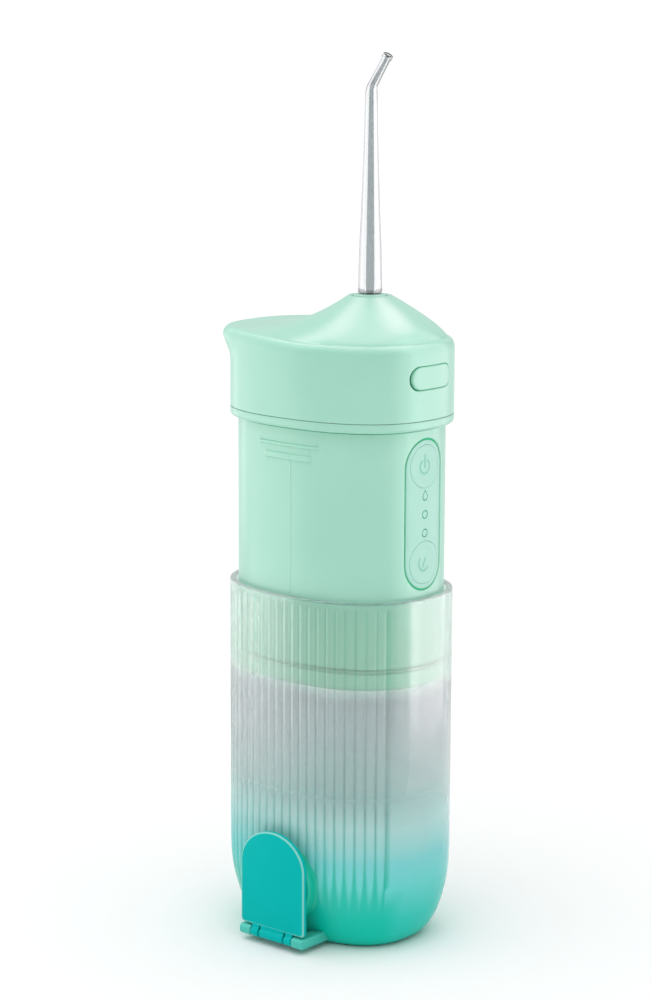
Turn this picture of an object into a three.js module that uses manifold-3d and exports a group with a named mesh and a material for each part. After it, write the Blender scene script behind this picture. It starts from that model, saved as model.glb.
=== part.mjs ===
// A telescopic cordless water flosser, standing on its tank with the motor unit drawn out.
// Millimetres, +Z up. The origin is the middle of the tank's flat base. +X is the narrow front,
// which carries the control panel, -Y is the broad side with the fill flap, and -X is the back.

import * as THREE from 'three';
import { mergeVertices } from 'three/addons/utils/BufferGeometryUtils.js';
import Module from 'manifold-3d';

const wasm = await Module();
wasm.setup();

// ---------------------------------------------------------------- driving dimensions

const GAP = 0.35; // between pieces that touch or slide on the real object
const CASE = { x: 33.5, y: 25.8 }; // half-length and half-width of the tank and the head
const BODY = inset(CASE, 2.2); // the barrel that slides inside the tank
const OVAL_POWER = 2.42; // 2 is an ellipse, more is squarer
const OVAL_SEGMENTS = 48;

const TANK_HEIGHT = 104;
const TANK_WALL = 1.55;
const TANK_FLOOR = 2;
const BOTTOM_INSET = 9.9; // how far the rounded bottom draws in
const BOTTOM_RISE = 23; // how high the rounding reaches

const BODY_BOTTOM = 78.3;
const CAP_TOP = BODY_BOTTOM + 4.9;
const SHELL_BOTTOM = CAP_TOP + 1.2;
const BODY_TOP = 152;
const SPIGOT_TOP = BODY_TOP + 5.5;
const BODY_WALL = 1.8;

const SEAM_Z = 154.9; // between the trim ring and the head
const CREASE_Z = 175.7; // where the head's side turns over into its top
const CREASE_RISE = 2.3; // of the rounded edge above the crease
const CREASE_DRAW_IN = 1.7;
const HEAD_TOP = CREASE_Z + CREASE_RISE;
const HEAD_WALL = 2.3;
const MOUND_TOP = 188.4;
const MOUND_RADIUS = 6.2;
const LIP_START = 168.5;
const LIP_REACH = 3;

const NOZZLE_X = 10.4; // the jet tip's upright axis, with the pump and the gear below it
const SEAT_TOP = MOUND_TOP + 0.4;
const LATCH_Z = 167.1;

const PANEL = { halfWidth: 8, halfHeight: 21.85, z: 127.65 };
const KEY_RADIUS = 6.2;
const KEY_OFFSET = PANEL.halfHeight - PANEL.halfWidth; // of each key from the panel's middle
const LED_PITCH = 5.35;

const FLAP = { halfWidth: 12, bottom: 5.4, shoulder: 24, top: 34.5, y: -30.2, thickness: 1.7 };
const HINGE = { y: -29.6, z: 3.3, radius: 1.5, knuckleHalf: 7.6, lugHalf: 11.9 };
const PORT = { z: 19, bossRadius: 12, radius: 8.5, face: -28.1 };

const PICKUP = { x: -6.5, y: 10, radius: 2 };
const MOTOR = { z: 93, radius: 10, back: -14, front: 8.5 };
const GEAR = { module: 0.8, pinionTeeth: 10, wheelTeeth: 30, back: 11, front: 14 };
const GEAR_Z = MOTOR.z + (GEAR.module * (GEAR.pinionTeeth + GEAR.wheelTeeth)) / 2;
const CRANK_RADIUS = 3.5;
const PLATE = { back: 8.9, front: 10.4 }; // the chassis plate's two faces, along Y

// ---------------------------------------------------------------- materials

const paint = (color, roughness, metalness = 0, opacity = 1) =>
  new THREE.MeshStandardMaterial({ color, roughness, metalness, opacity, transparent: opacity < 1 });

const MINT = paint('#b4e3cf', 0.3);
const MINT_SOFT = paint('#bfe8da', 0.45);
const TEAL = paint('#00b5b1', 0.4);
const FROSTED = paint('#a9d3cb', 0.35, 0, 0.5);
const CLEAR = paint('#eef3f4', 0.08, 0, 0.35);
const LIGHT = paint('#dff5ec', 0.2);
const WHITE = paint('#eceeea', 0.5);
const SILICONE = paint('#d9dcd8', 0.6);
const RUBBER = paint('#2b2f2e', 0.7);
const STEEL = paint('#b9bcc0', 0.3, 1);
const BRASS = paint('#c9a75c', 0.3, 1);
const CIRCUIT = paint('#1f6b45', 0.5);
const BLUE_WRAP = paint('#2f6fb5', 0.4);

// ---------------------------------------------------------------- outlines

function inset(outline, distance) {
  return { x: outline.x - distance, y: outline.y - distance };
}

function ovalPoint(outline, angle) {
  const across = Math.abs(Math.cos(angle) / outline.x) ** OVAL_POWER;
  const along = Math.abs(Math.sin(angle) / outline.y) ** OVAL_POWER;
  const radius = (across + along) ** (-1 / OVAL_POWER);
  return new THREE.Vector2(radius * Math.cos(angle), radius * Math.sin(angle));
}

function ovalRing(outline, z) {
  return Array.from({ length: OVAL_SEGMENTS }, (_, i) => {
    const point = ovalPoint(outline, (2 * Math.PI * i) / OVAL_SEGMENTS);
    return new THREE.Vector3(point.x, point.y, z);
  });
}

// The rings of an oval bottom whose edge is a quarter of an ellipse, from its flat face up.
function roundedBottomRings(outline, drawIn, rise, z, steps) {
  return Array.from({ length: steps + 1 }, (_, i) => {
    const turn = (Math.PI / 2) * (i / steps);
    return ovalRing(inset(outline, drawIn * (1 - Math.sin(turn))), z + rise * (1 - Math.cos(turn)));
  });
}

function rectangle(halfWidth, halfHeight, corner = 0) {
  const shape = new THREE.Shape();
  if (corner === 0) {
    return new THREE.Shape([
      new THREE.Vector2(-halfWidth, -halfHeight),
      new THREE.Vector2(halfWidth, -halfHeight),
      new THREE.Vector2(halfWidth, halfHeight),
      new THREE.Vector2(-halfWidth, halfHeight),
    ]);
  }
  const x = halfWidth - corner;
  const y = halfHeight - corner;
  shape.absarc(x, -y, corner, -Math.PI / 2, 0);
  shape.absarc(x, y, corner, 0, Math.PI / 2);
  shape.absarc(-x, y, corner, Math.PI / 2, Math.PI);
  shape.absarc(-x, -y, corner, Math.PI, 1.5 * Math.PI);
  return shape;
}

// ---------------------------------------------------------------- solids

// Side walls through a row of rings, with a fan of triangles closing each end.
function loft(rings) {
  const count = rings[0].length;
  const positions = rings.flat().flatMap((point) => [point.x, point.y, point.z]);
  const indices = [];
  for (let ring = 0; ring < rings.length - 1; ring += 1) {
    for (let i = 0; i < count; i += 1) {
      const a = ring * count + i;
      const b = ring * count + ((i + 1) % count);
      indices.push(a, b, b + count, a, b + count, a + count);
    }
  }
  const closeEnd = (ring, outwards) => {
    const middle = new THREE.Vector3();
    rings[ring].forEach((point) => middle.addScaledVector(point, 1 / count));
    const centre = positions.push(middle.x, middle.y, middle.z) / 3 - 1;
    for (let i = 0; i < count; i += 1) {
      const a = ring * count + i;
      const b = ring * count + ((i + 1) % count);
      indices.push(centre, ...(outwards ? [a, b] : [b, a]));
    }
  };
  closeEnd(0, false);
  closeEnd(rings.length - 1, true);
  const geometry = new THREE.BufferGeometry();
  geometry.setAttribute('position', new THREE.Float32BufferAttribute(positions, 3));
  geometry.setIndex(indices);
  return geometry;
}

const ovalBlock = (outline, from, to) => loft([ovalRing(outline, from), ovalRing(outline, to)]);

// An upright oval wall between two outlines, used to give a piece the case's curve.
const ovalWall = (outer, inner, from, to) =>
  cut(ovalBlock(outer, from, to), ovalBlock(inner, from - 1, to + 1));

function block(x, y, z) {
  const geometry = new THREE.BoxGeometry(x[1] - x[0], y[1] - y[0], z[1] - z[0]);
  return geometry.translate((x[0] + x[1]) / 2, (y[0] + y[1]) / 2, (z[0] + z[1]) / 2);
}

// Turns a geometry made about three's +Y axis so that it stands along another axis.
function aim(geometry, axis) {
  if (axis === 'z') geometry.rotateX(Math.PI / 2);
  if (axis === 'x') geometry.rotateZ(-Math.PI / 2);
  return geometry;
}

function rod(axis, radius, from, to, segments = 16) {
  const geometry = new THREE.CylinderGeometry(radius, radius, to - from, segments);
  return aim(geometry.translate(0, (from + to) / 2, 0), axis);
}

// A body of revolution; the profile lists [radius, distance along the axis].
function turned(axis, profile, segments = 16) {
  const points = profile.map(([radius, height]) => new THREE.Vector2(radius, height));
  return aim(new THREE.LatheGeometry(points, segments), axis);
}

function sleeve(axis, outer, inner, from, to, segments = 16) {
  return turned(axis, [[inner, from], [outer, from], [outer, to], [inner, to], [inner, from]], segments);
}

// A flat outline pushed from one height to another. The outline's own x and y lie along the
// two axes that the plane names.
function prism(shape, plane, from, to, curveSegments = 12) {
  const [x, y, z] = [new THREE.Vector3(1, 0, 0), new THREE.Vector3(0, 1, 0), new THREE.Vector3(0, 0, 1)];
  const geometry = new THREE.ExtrudeGeometry(shape, { depth: to - from, bevelEnabled: false, curveSegments });
  const bases = { xy: [x, y, z], yz: [y, z, x], xz: [x, z, y.clone().negate()] };
  const basis = new THREE.Matrix4().makeBasis(...bases[plane]);
  const push = { xy: [0, 0, from], yz: [from, 0, 0], xz: [0, to, 0] };
  return geometry.applyMatrix4(basis).translate(...push[plane]);
}

function signedVolume(geometry) {
  const { array } = geometry.getAttribute('position');
  const index = geometry.getIndex().array;
  const corner = (k) => new THREE.Vector3().fromArray(array, 3 * index[k]);
  let volume = 0;
  for (let k = 0; k < index.length; k += 3) {
    volume += corner(k).dot(corner(k + 1).cross(corner(k + 2))) / 6;
  }
  return volume;
}

// A geometry with shared corners and its faces pointing out.
function tidy(geometry) {
  const bare = geometry.clone();
  bare.deleteAttribute('normal');
  bare.deleteAttribute('uv');
  const merged = mergeVertices(bare, 1e-4);
  if (signedVolume(merged) < 0) merged.getIndex().array.reverse();
  return merged;
}

function toSolid(geometry) {
  const merged = tidy(geometry);
  const vertProperties = new Float32Array(merged.getAttribute('position').array);
  const triVerts = new Uint32Array(merged.getIndex().array);
  return new wasm.Manifold(new wasm.Mesh({ numProp: 3, vertProperties, triVerts }));
}

function fromSolid(solid) {
  const mesh = solid.getMesh();
  const geometry = new THREE.BufferGeometry();
  geometry.setAttribute('position', new THREE.BufferAttribute(mesh.vertProperties, 3));
  geometry.setIndex(new THREE.BufferAttribute(mesh.triVerts, 1));
  return geometry;
}

const combine = (operation) => (first, ...others) =>
  fromSolid(others.reduce((solid, other) => solid[operation](toSolid(other)), toSolid(first)));
const join = combine('add');
const cut = combine('subtract');
const common = combine('intersect');

// ---------------------------------------------------------------- scene

const flosser = new THREE.Group();
const tankGroup = new THREE.Group();
const motorUnit = new THREE.Group();
flosser.add(tankGroup, motorUnit);

function add(group, name, geometry, material, position = [0, 0, 0]) {
  const mesh = new THREE.Mesh(tidy(geometry), material);
  mesh.name = name;
  mesh.position.set(...position);
  group.add(mesh);
}

// ---------------------------------------------------------------- tank and fill flap

// One of the two lugs that carry the flap's pin: a barrel end with an arm back to the tank.
function hingeLug(side) {
  const near = HINGE.knuckleHalf + 0.3;
  const from = side > 0 ? near : -HINGE.lugHalf;
  const to = side > 0 ? HINGE.lugHalf : -near;
  const barrel = rod('x', HINGE.radius, from, to).translate(0, HINGE.y, HINGE.z);
  const arm = block([from, to], [HINGE.y, -17], [HINGE.z - HINGE.radius, HINGE.z + HINGE.radius]);
  return join(barrel, arm);
}

function waterTank() {
  const outer = loft([
    ...roundedBottomRings(CASE, BOTTOM_INSET, BOTTOM_RISE, 0, 7),
    ovalRing(CASE, TANK_HEIGHT - 0.4),
    ovalRing(inset(CASE, 0.4), TANK_HEIGHT),
  ]);
  const hollow = inset(CASE, TANK_WALL);
  const inner = loft([
    ...roundedBottomRings(hollow, BOTTOM_INSET, BOTTOM_RISE - TANK_FLOOR, TANK_FLOOR, 6),
    ovalRing(hollow, TANK_HEIGHT + 1),
  ]);
  const boss = rod('y', PORT.bossRadius, PORT.face, -18, 32).translate(0, 0, PORT.z);
  const port = rod('y', PORT.radius, PORT.face - 1, -17, 32).translate(0, 0, PORT.z);
  const pinHole = rod('x', 1, -HINGE.lugHalf + 0.5, HINGE.lugHalf - 0.5, 12);
  const solid = join(outer, boss, hingeLug(1), hingeLug(-1));
  return cut(solid, inner, port, pinHole.translate(0, HINGE.y, HINGE.z));
}

function fillFlap() {
  const outline = new THREE.Shape();
  outline.moveTo(FLAP.halfWidth, FLAP.bottom);
  outline.lineTo(FLAP.halfWidth, FLAP.shoulder);
  outline.absellipse(0, FLAP.shoulder, FLAP.halfWidth, FLAP.top - FLAP.shoulder, 0, Math.PI);
  outline.lineTo(-FLAP.halfWidth, FLAP.bottom);
  const front = FLAP.y + FLAP.thickness;
  const plate = prism(outline, 'xz', FLAP.y, front, 10);
  const { knuckleHalf } = HINGE;
  const tab = block([-knuckleHalf, knuckleHalf], [FLAP.y, front], [HINGE.z, FLAP.bottom + 1]);
  const knuckle = rod('x', HINGE.radius, -knuckleHalf, knuckleHalf);
  const stud = rod('y', 1.5, front - 0.5, front + 3.5, 12).translate(0, 0, PORT.z);
  const slot = (x) => block([x - 0.3, x + 0.3], [HINGE.y - 3, HINGE.y + 3], [0, HINGE.z + 1.8]);
  const pinHole = rod('x', 1, -HINGE.lugHalf, HINGE.lugHalf, 12).translate(0, HINGE.y, HINGE.z);
  const solid = join(plate, tab, knuckle.translate(0, HINGE.y, HINGE.z), stud);
  return cut(solid, slot(-4.75), slot(4.75), pinHole);
}

function flapStopper() {
  const face = FLAP.y + FLAP.thickness + GAP;
  const tip = -23.8;
  const profile = [[1.85, face], [8.1, face], [7.6, tip], [1.85, tip], [1.85, face]];
  return turned('y', profile, 24).translate(0, 0, PORT.z);
}

function pickupTube() {
  const foot = TANK_FLOOR + GAP;
  const { radius } = PICKUP;
  const bore = radius - 0.7;
  const top = BODY_BOTTOM + 9.7;
  const profile = [
    [bore, foot], [3, foot], [3, foot + 1.2], [radius, foot + 2.4], [radius, top], [bore, top], [bore, foot],
  ];
  return turned('z', profile, 14).translate(PICKUP.x, PICKUP.y, 0);
}

add(tankGroup, 'water_tank', waterTank(), FROSTED);
add(tankGroup, 'fill_flap', fillFlap(), TEAL);
add(tankGroup, 'flap_stopper', flapStopper(), SILICONE);
add(tankGroup, 'flap_hinge_pin', rod('x', 0.65, -11, 11, 10), STEEL, [0, HINGE.y, HINGE.z]);
add(tankGroup, 'pickup_tube', pickupTube(), CLEAR);

// ---------------------------------------------------------------- barrel

// A raised bar across one broad side of the barrel, following its curve.
function sideBar(side, halfLength, z, height) {
  const wall = ovalWall(inset(BODY, -0.3), inset(BODY, 1), z - height / 2, z + height / 2);
  return common(wall, block([-halfLength, halfLength], side > 0 ? [10, 30] : [-30, -10], [z - 5, z + 5]));
}

function panelOutline(clearance) {
  const { halfWidth, halfHeight } = PANEL;
  return rectangle(halfWidth - clearance, halfHeight - clearance, halfWidth - clearance);
}

function panelPrism(clearance) {
  return prism(panelOutline(clearance), 'yz', 20, 40, 10).translate(0, 0, PANEL.z);
}

function bodyShell() {
  const spigot = inset(BODY, 1.4);
  const outside = join(
    ovalBlock(BODY, SHELL_BOTTOM, BODY_TOP),
    ovalBlock(spigot, BODY_TOP - 1, SPIGOT_TOP),
    ...[-1, 1].flatMap((side) => [sideBar(side, 11, 147.2, 0.8), sideBar(side, 8.6, 143.8, 1.6)]),
  );
  const hollow = ovalBlock(inset(BODY, BODY_WALL), SHELL_BOTTOM - 1, BODY_TOP - 1);
  const neck = ovalBlock(inset(spigot, 1.5), BODY_TOP - 2, SPIGOT_TOP + 1);
  return cut(outside, hollow, neck, panelPrism(0));
}

function bodyBottomCap() {
  const plug = inset(BODY, BODY_WALL + 0.4);
  const cap = loft([
    ovalRing(inset(BODY, 0.6), BODY_BOTTOM),
    ovalRing(BODY, BODY_BOTTOM + 0.6),
    ovalRing(BODY, CAP_TOP),
  ]);
  const solid = join(cap, ovalBlock(plug, CAP_TOP - 1, CAP_TOP + 3.8));
  const hollow = ovalBlock(inset(plug, 1.5), BODY_BOTTOM + 2, CAP_TOP + 5);
  const tubeHole = rod('z', PICKUP.radius + 0.6, BODY_BOTTOM - 1, BODY_BOTTOM + 3);
  const screwHoles = CAP_SCREW_X.map((x) =>
    screwSpace('z', BODY_BOTTOM + 1.5, 5).translate(x, CAP_SCREW_Y, 0));
  return cut(solid, hollow, tubeHole.translate(PICKUP.x, PICKUP.y, 0), ...screwHoles);
}

function bodySealRing() {
  const from = CAP_TOP + 0.3;
  return ovalWall(inset(BODY, -0.3), inset(BODY, BODY_WALL), from, from + 0.6);
}

// ---------------------------------------------------------------- screws

const SCREW = { headRadius: 1.6, headHeight: 1.2, shank: 0.9 };
const CAP_SCREW_X = [4, 17];
const CAP_SCREW_Y = -8;

// A pan-head screw whose head bears at 0 and whose shank points along +axis.
function screw(axis, length) {
  const { headRadius, headHeight, shank } = SCREW;
  const head = [[0, -headHeight], [headRadius, -headHeight], [headRadius, 0]];
  return turned(axis, [...head, [shank, 0], [shank, length], [0, length]], 12);
}

// The room that a screw needs, with its head's bearing face at a given height.
function screwSpace(axis, face, length) {
  const { headRadius, shank } = SCREW;
  const head = rod(axis, headRadius + GAP, face - 5, face - GAP, 12);
  return join(head, rod(axis, shank + GAP, face - 1, face + length, 12));
}

add(motorUnit, 'body_shell', bodyShell(), MINT);
add(motorUnit, 'body_bottom_cap', bodyBottomCap(), MINT);
add(motorUnit, 'body_seal_ring', bodySealRing(), RUBBER);
CAP_SCREW_X.forEach((x, i) => {
  add(motorUnit, `cap_screw_${i + 1}`, screw('z', 3.1), STEEL, [x, CAP_SCREW_Y, BODY_BOTTOM + 1.15]);
});

// ---------------------------------------------------------------- control panel

function panelPiece(outer, inner, shape, clearanceHoles = []) {
  const wall = ovalWall(inset(BODY, outer), inset(BODY, inner), PANEL.z - 30, PANEL.z + 30);
  return cut(common(wall, shape), ...clearanceHoles);
}

const frontRod = (radius, z, segments) => rod('x', radius, 20, 40, segments).translate(0, 0, z);
const KEY_HEIGHTS = { power_button: PANEL.z + KEY_OFFSET, mode_button: PANEL.z - KEY_OFFSET };
const LED_HEIGHTS = {
  led_pipe_upper: PANEL.z + LED_PITCH,
  led_pipe_middle: PANEL.z,
  led_pipe_lower: PANEL.z - LED_PITCH,
};

function controlPanel() {
  const keyHoles = Object.values(KEY_HEIGHTS).map((z) => frontRod(KEY_RADIUS + 0.3, z, 32));
  const ledHoles = Object.values(LED_HEIGHTS).map((z) => frontRod(1.4, z, 12));
  return panelPiece(0.15, 2.3, panelPrism(0.3), [...keyHoles, ...ledHoles]);
}

add(motorUnit, 'control_panel', controlPanel(), MINT_SOFT);
Object.entries(KEY_HEIGHTS).forEach(([name, z]) => {
  add(motorUnit, name, panelPiece(0.2, 2.7, frontRod(KEY_RADIUS, z, 32)), MINT_SOFT);
});
Object.entries(LED_HEIGHTS).forEach(([name, z]) => {
  add(motorUnit, name, rod('x', 1.05, 26.5, BODY.x - 0.2, 12), LIGHT, [0, 0, z]);
});

const BOARD_X = [24.3, 25.5];
add(motorUnit, 'control_board', block(BOARD_X, [-9, 9], [104, 149]), CIRCUIT);
const SWITCH_CASE = join(block([0, 1.4], [-2.5, 2.5], [-2.5, 2.5]), rod('x', 1.4, 1, 2, 12));
add(motorUnit, 'power_switch', SWITCH_CASE, RUBBER, [BOARD_X[1] + GAP, 0, KEY_HEIGHTS.power_button]);
add(motorUnit, 'mode_switch', SWITCH_CASE, RUBBER, [BOARD_X[1] + GAP, 0, KEY_HEIGHTS.mode_button]);

// ---------------------------------------------------------------- drive and pump

const MOTOR_SCREW_OFFSET = 7.5;

function innerChassis() {
  const plate = block([-1.5, 23.6], [PLATE.back, PLATE.front], [81, 148]);
  const shelf = block([-1.5, 21], [-13, PLATE.front], [81, 82.5]);
  const saddle = block([5, 16], [6.85, PLATE.back + 0.5], [135, 147]);
  const armWindow = block([5, 16], [5, 12], [121.9, 133.3]);
  const pinionHole = rod('y', 5.2, 5, 12, 20).translate(NOZZLE_X, 0, MOTOR.z);
  const axleHole = rod('y', 1.85, 5, 12, 14).translate(NOZZLE_X, 0, GEAR_Z);
  const motorScrews = [-1, 1].map((side) =>
    rod('y', 1.25, 5, 12, 12).translate(NOZZLE_X + side * MOTOR_SCREW_OFFSET, 0, MOTOR.z));
  const capScrews = CAP_SCREW_X.map((x) => rod('z', 1.25, 80, 84, 12).translate(x, CAP_SCREW_Y, 0));
  return cut(join(plate, shelf, saddle), armWindow, pinionHole, axleHole, ...motorScrews, ...capScrews);
}

function motorCase() {
  const { radius, back, front } = MOTOR;
  const endBoss = [[0, back - 1.4], [3, back - 1.4], [3, back]];
  const body = turned('y', [...endBoss, [radius, back], [radius, front], [0, front]], 28);
  const shaftHole = rod('y', 1.5, front - 6, front + 1, 12);
  const screwHoles = [-1, 1].map((side) =>
    rod('y', 1.25, front - 4, front + 1, 12).translate(side * MOTOR_SCREW_OFFSET, 0, 0));
  return cut(body, shaftHole, ...screwHoles);
}

// The outline of a spur gear with straight-sided teeth, one tooth centred on the angle `phase`.
function gearOutline(teeth, phase) {
  const pitchRadius = (GEAR.module * teeth) / 2;
  const root = pitchRadius - 1.1;
  const tip = pitchRadius + 0.7;
  const step = (2 * Math.PI) / teeth;
  const rootHalf = 0.62 / root;
  const tipHalf = 0.24 / tip;
  const points = Array.from({ length: teeth }, (_, i) => {
    const middle = phase + i * step;
    const corners = [[root, -rootHalf], [tip, -tipHalf], [tip, tipHalf], [root, rootHalf]];
    return corners.map(([radius, turn]) => {
      const angle = middle + turn;
      return new THREE.Vector2(radius * Math.cos(angle), radius * Math.sin(angle));
    });
  });
  return new THREE.Shape(points.flat());
}

// The pinion is centred below the gear, with a gap between its teeth facing the gear's lowest tooth.
function motorPinion() {
  const outline = gearOutline(GEAR.pinionTeeth, Math.PI / 2 + Math.PI / GEAR.pinionTeeth);
  const teeth = prism(outline, 'xz', GEAR.back, GEAR.front);
  return join(teeth, rod('y', 1.1, MOTOR.front - 5, GEAR.back + 1, 12));
}

function reductionGear() {
  const wheel = prism(gearOutline(GEAR.wheelTeeth, -Math.PI / 2), 'xz', GEAR.back, GEAR.front);
  const crankPin = rod('y', 1.2, GEAR.front - 1, GEAR.front + 3, 14).translate(CRANK_RADIUS, 0, 0);
  const bore = rod('y', 1.85, GEAR.back - 1, GEAR.front + 1, 14);
  const lighteningHoles = [1, 2, 3].map((i) => {
    const angle = (Math.PI / 2) * i;
    const hole = rod('y', 2, GEAR.back - 1, GEAR.front + 1, 12);
    return hole.translate(7.5 * Math.cos(angle), 0, 7.5 * Math.sin(angle));
  });
  return cut(join(wheel, crankPin), bore, ...lighteningHoles);
}

const PISTON_Z = 137; // underside of the piston's crown at mid-stroke
const PUMP_BORE = 4.6;

// Crank yoke, lifting arm, rod and piston, moulded in one. Its window is tall enough for the
// crank pin at any piston height.
function pistonYoke() {
  const window = { halfWidth: CRANK_RADIUS + 1.7, halfHeight: 2 * CRANK_RADIUS + 1.7 };
  const y = [GEAR.front + 0.6, GEAR.front + 2.6];
  const frame = block(
    [-window.halfWidth - 2, window.halfWidth + 2], y, [-window.halfHeight - 2, window.halfHeight + 2]);
  const opening = block(
    [-window.halfWidth, window.halfWidth], [y[0] - 1, y[1] + 1], [-window.halfHeight, window.halfHeight]);
  const hanger = cut(frame, opening).translate(0, 0, GEAR_Z);
  const stem = block([-2, 2], y, [GEAR_Z + window.halfHeight + 1, 129]);
  const arm = block([-2, 2], [-2, y[1]], [126, 129]);
  const rodSolid = rod('z', 1.5, 128, PISTON_Z + 1, 12);
  const crown = turned('z', [
    [0, PISTON_Z], [4.2, PISTON_Z], [4.2, PISTON_Z + 1.5], [3.2, PISTON_Z + 1.5],
    [3.2, PISTON_Z + 3.5], [4.2, PISTON_Z + 3.5], [4.2, PISTON_Z + 5], [0, PISTON_Z + 5],
  ], 20);
  return join(hanger, stem, arm, rodSolid, crown);
}

const VALVE = { chamber: 2.1, ball: 1.6, port: 0.9, outletSeat: 151.2, inletTop: 154.6 };
const INLET_X = 0.6;
const PUMP_HEAD = { bottom: 148.6, top: 157.6 };

function pumpHead() {
  const { bottom, top } = PUMP_HEAD;
  const solid = block([-3.5, 18.5], [-7, 7], [bottom, top]);
  const outlet = join(
    rod('z', VALVE.port, bottom - 1, top, 10),
    rod('z', VALVE.chamber, VALVE.outletSeat, top + 1),
  );
  const inlet = join(
    rod('z', VALVE.chamber, bottom - 1, VALVE.inletTop),
    rod('z', VALVE.port, VALVE.inletTop - 0.6, VALVE.inletTop + 1.8, 10),
  );
  const passage = rod('x', VALVE.port, INLET_X, NOZZLE_X, 10).translate(0, 0, 149.9);
  return cut(solid, outlet.translate(NOZZLE_X, 0, 0), inlet.translate(INLET_X, 0, 0), passage);
}

function inletHose() {
  const route = new THREE.CatmullRomCurve3([
    new THREE.Vector3(PICKUP.x, PICKUP.y, 137.9),
    new THREE.Vector3(PICKUP.x, PICKUP.y, 140.5),
    new THREE.Vector3(-3.2, 4.4, 143.4),
    new THREE.Vector3(INLET_X, 0, 146.4),
    new THREE.Vector3(INLET_X, 0, 149.8),
  ]);
  const section = new THREE.Shape().absarc(0, 0, 1.6, 0, 2 * Math.PI);
  return new THREE.ExtrudeGeometry(section, { steps: 12, extrudePath: route, curveSegments: 5 });
}

function outletTube() {
  const bottom = PUMP_HEAD.top + GAP;
  const top = bottom + 7.9;
  const step = bottom + 4.6;
  const profile = [[1, bottom], [4, bottom], [4, top], [1.9, top], [1.9, step], [1, step], [1, bottom]];
  return turned('z', profile, 16);
}

function batteryCell() {
  const profile = [[0, 88], [9, 88], [9, 137.2], [3, 137.2], [3, 138], [0, 138]];
  return turned('z', profile, 24);
}

// A C-shaped bracket that holds the cell's two ends, standing on the bottom cap.
function batteryCradle() {
  const solid = block([-25, -8.7], [-6, 6], [80.7, 140.2]);
  const foot = block([-26, -9.9], [-7, 7], [80, 85.8]);
  const cellSpace = block([-26, -9.95], [-7, 7], [87.4, 138.6]);
  return cut(solid, foot, cellSpace);
}

function chargeConnector() {
  const shell = prism(rectangle(4.47, 1.63, 1.6), 'yz', -31.6, -24.3, 5);
  const mouth = prism(rectangle(4.1, 1.25, 1.2), 'yz', -32, -25.3, 5);
  const tongue = block([-30.6, -25], [-3.3, 3.3], [-0.35, 0.35]);
  return join(cut(shell, mouth), tongue);
}

const PORT_Z = 161;

add(motorUnit, 'inner_chassis', innerChassis(), WHITE);
add(motorUnit, 'battery_cell', batteryCell(), BLUE_WRAP, [-19.3, 0, 0]);
add(motorUnit, 'battery_cradle', batteryCradle(), WHITE);
add(motorUnit, 'motor_case', motorCase(), STEEL, [NOZZLE_X, 0, MOTOR.z]);
[-1, 1].forEach((side, i) => {
  const place = [NOZZLE_X + side * MOTOR_SCREW_OFFSET, PLATE.front + 0.3, MOTOR.z];
  add(motorUnit, `motor_screw_${i + 1}`, screw('y', 5).rotateX(Math.PI), STEEL, place);
});
add(motorUnit, 'motor_pinion', motorPinion(), BRASS, [NOZZLE_X, 0, MOTOR.z]);
add(motorUnit, 'reduction_gear', reductionGear(), WHITE, [NOZZLE_X, 0, GEAR_Z]);
add(motorUnit, 'gear_axle', rod('y', 1.5, 4.5, GEAR.front + 0.2, 14), STEEL, [NOZZLE_X, 0, GEAR_Z]);
add(motorUnit, 'piston_yoke', pistonYoke(), WHITE, [NOZZLE_X, 0, 0]);
const pistonSeal = sleeve('z', 4.25, 3.55, PISTON_Z + 1.8, PISTON_Z + 3.2, 20);
add(motorUnit, 'piston_seal', pistonSeal, RUBBER, [NOZZLE_X, 0, 0]);
add(motorUnit, 'pump_cylinder', sleeve('z', 6.5, PUMP_BORE, 133, 148.2, 24), WHITE, [NOZZLE_X, 0, 0]);
add(motorUnit, 'pump_head', pumpHead(), WHITE);
const BALL = new THREE.SphereGeometry(VALVE.ball, 10, 8);
add(motorUnit, 'inlet_valve_ball', BALL, STEEL, [INLET_X, 0, 151.8]);
add(motorUnit, 'outlet_valve_ball', BALL, STEEL, [NOZZLE_X, 0, 153.2]);
add(motorUnit, 'tube_sleeve', sleeve('z', 3.4, 2.7, 83, 137.5, 16), WHITE, [PICKUP.x, PICKUP.y, 0]);
add(motorUnit, 'tube_gland', sleeve('z', 3.4, 2.35, 80.65, 82.65, 16), RUBBER, [PICKUP.x, PICKUP.y, 0]);
add(motorUnit, 'inlet_hose', inletHose(), SILICONE);
add(motorUnit, 'outlet_tube', outletTube(), WHITE, [NOZZLE_X, 0, 0]);
add(motorUnit, 'charge_connector', chargeConnector(), STEEL, [0, 0, PORT_Z]);
add(motorUnit, 'charge_board', block([-29.6, -16], [-8, 8], [158, 159]), CIRCUIT);

// ---------------------------------------------------------------- head

function trimRing() {
  const solid = loft([
    ovalRing(inset(CASE, 0.8), BODY_TOP + 0.3),
    ovalRing(CASE, BODY_TOP + 1.1),
    ovalRing(CASE, SEAM_Z - 0.3),
  ]);
  return cut(solid, ovalBlock(inset(BODY, 1), BODY_TOP - 1, SEAM_Z + 1));
}

// The head's outline at a height, stretched towards the back where the finger lip flares out.
function headRing(z, drawIn = 0) {
  const rise = THREE.MathUtils.clamp((z - LIP_START) / (CREASE_Z - LIP_START), 0, 1);
  const flare = (LIP_REACH * (rise * rise + THREE.MathUtils.smoothstep(rise, 0, 1))) / 2;
  return ovalRing(CASE, z).map((point) => {
    const length = Math.hypot(point.x, point.y);
    const stretch = flare * THREE.MathUtils.smoothstep(-point.x, 19, 26);
    const x = point.x * (1 - drawIn / length) - stretch;
    return new THREE.Vector3(x, point.y * (1 - drawIn / length), z);
  });
}

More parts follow.
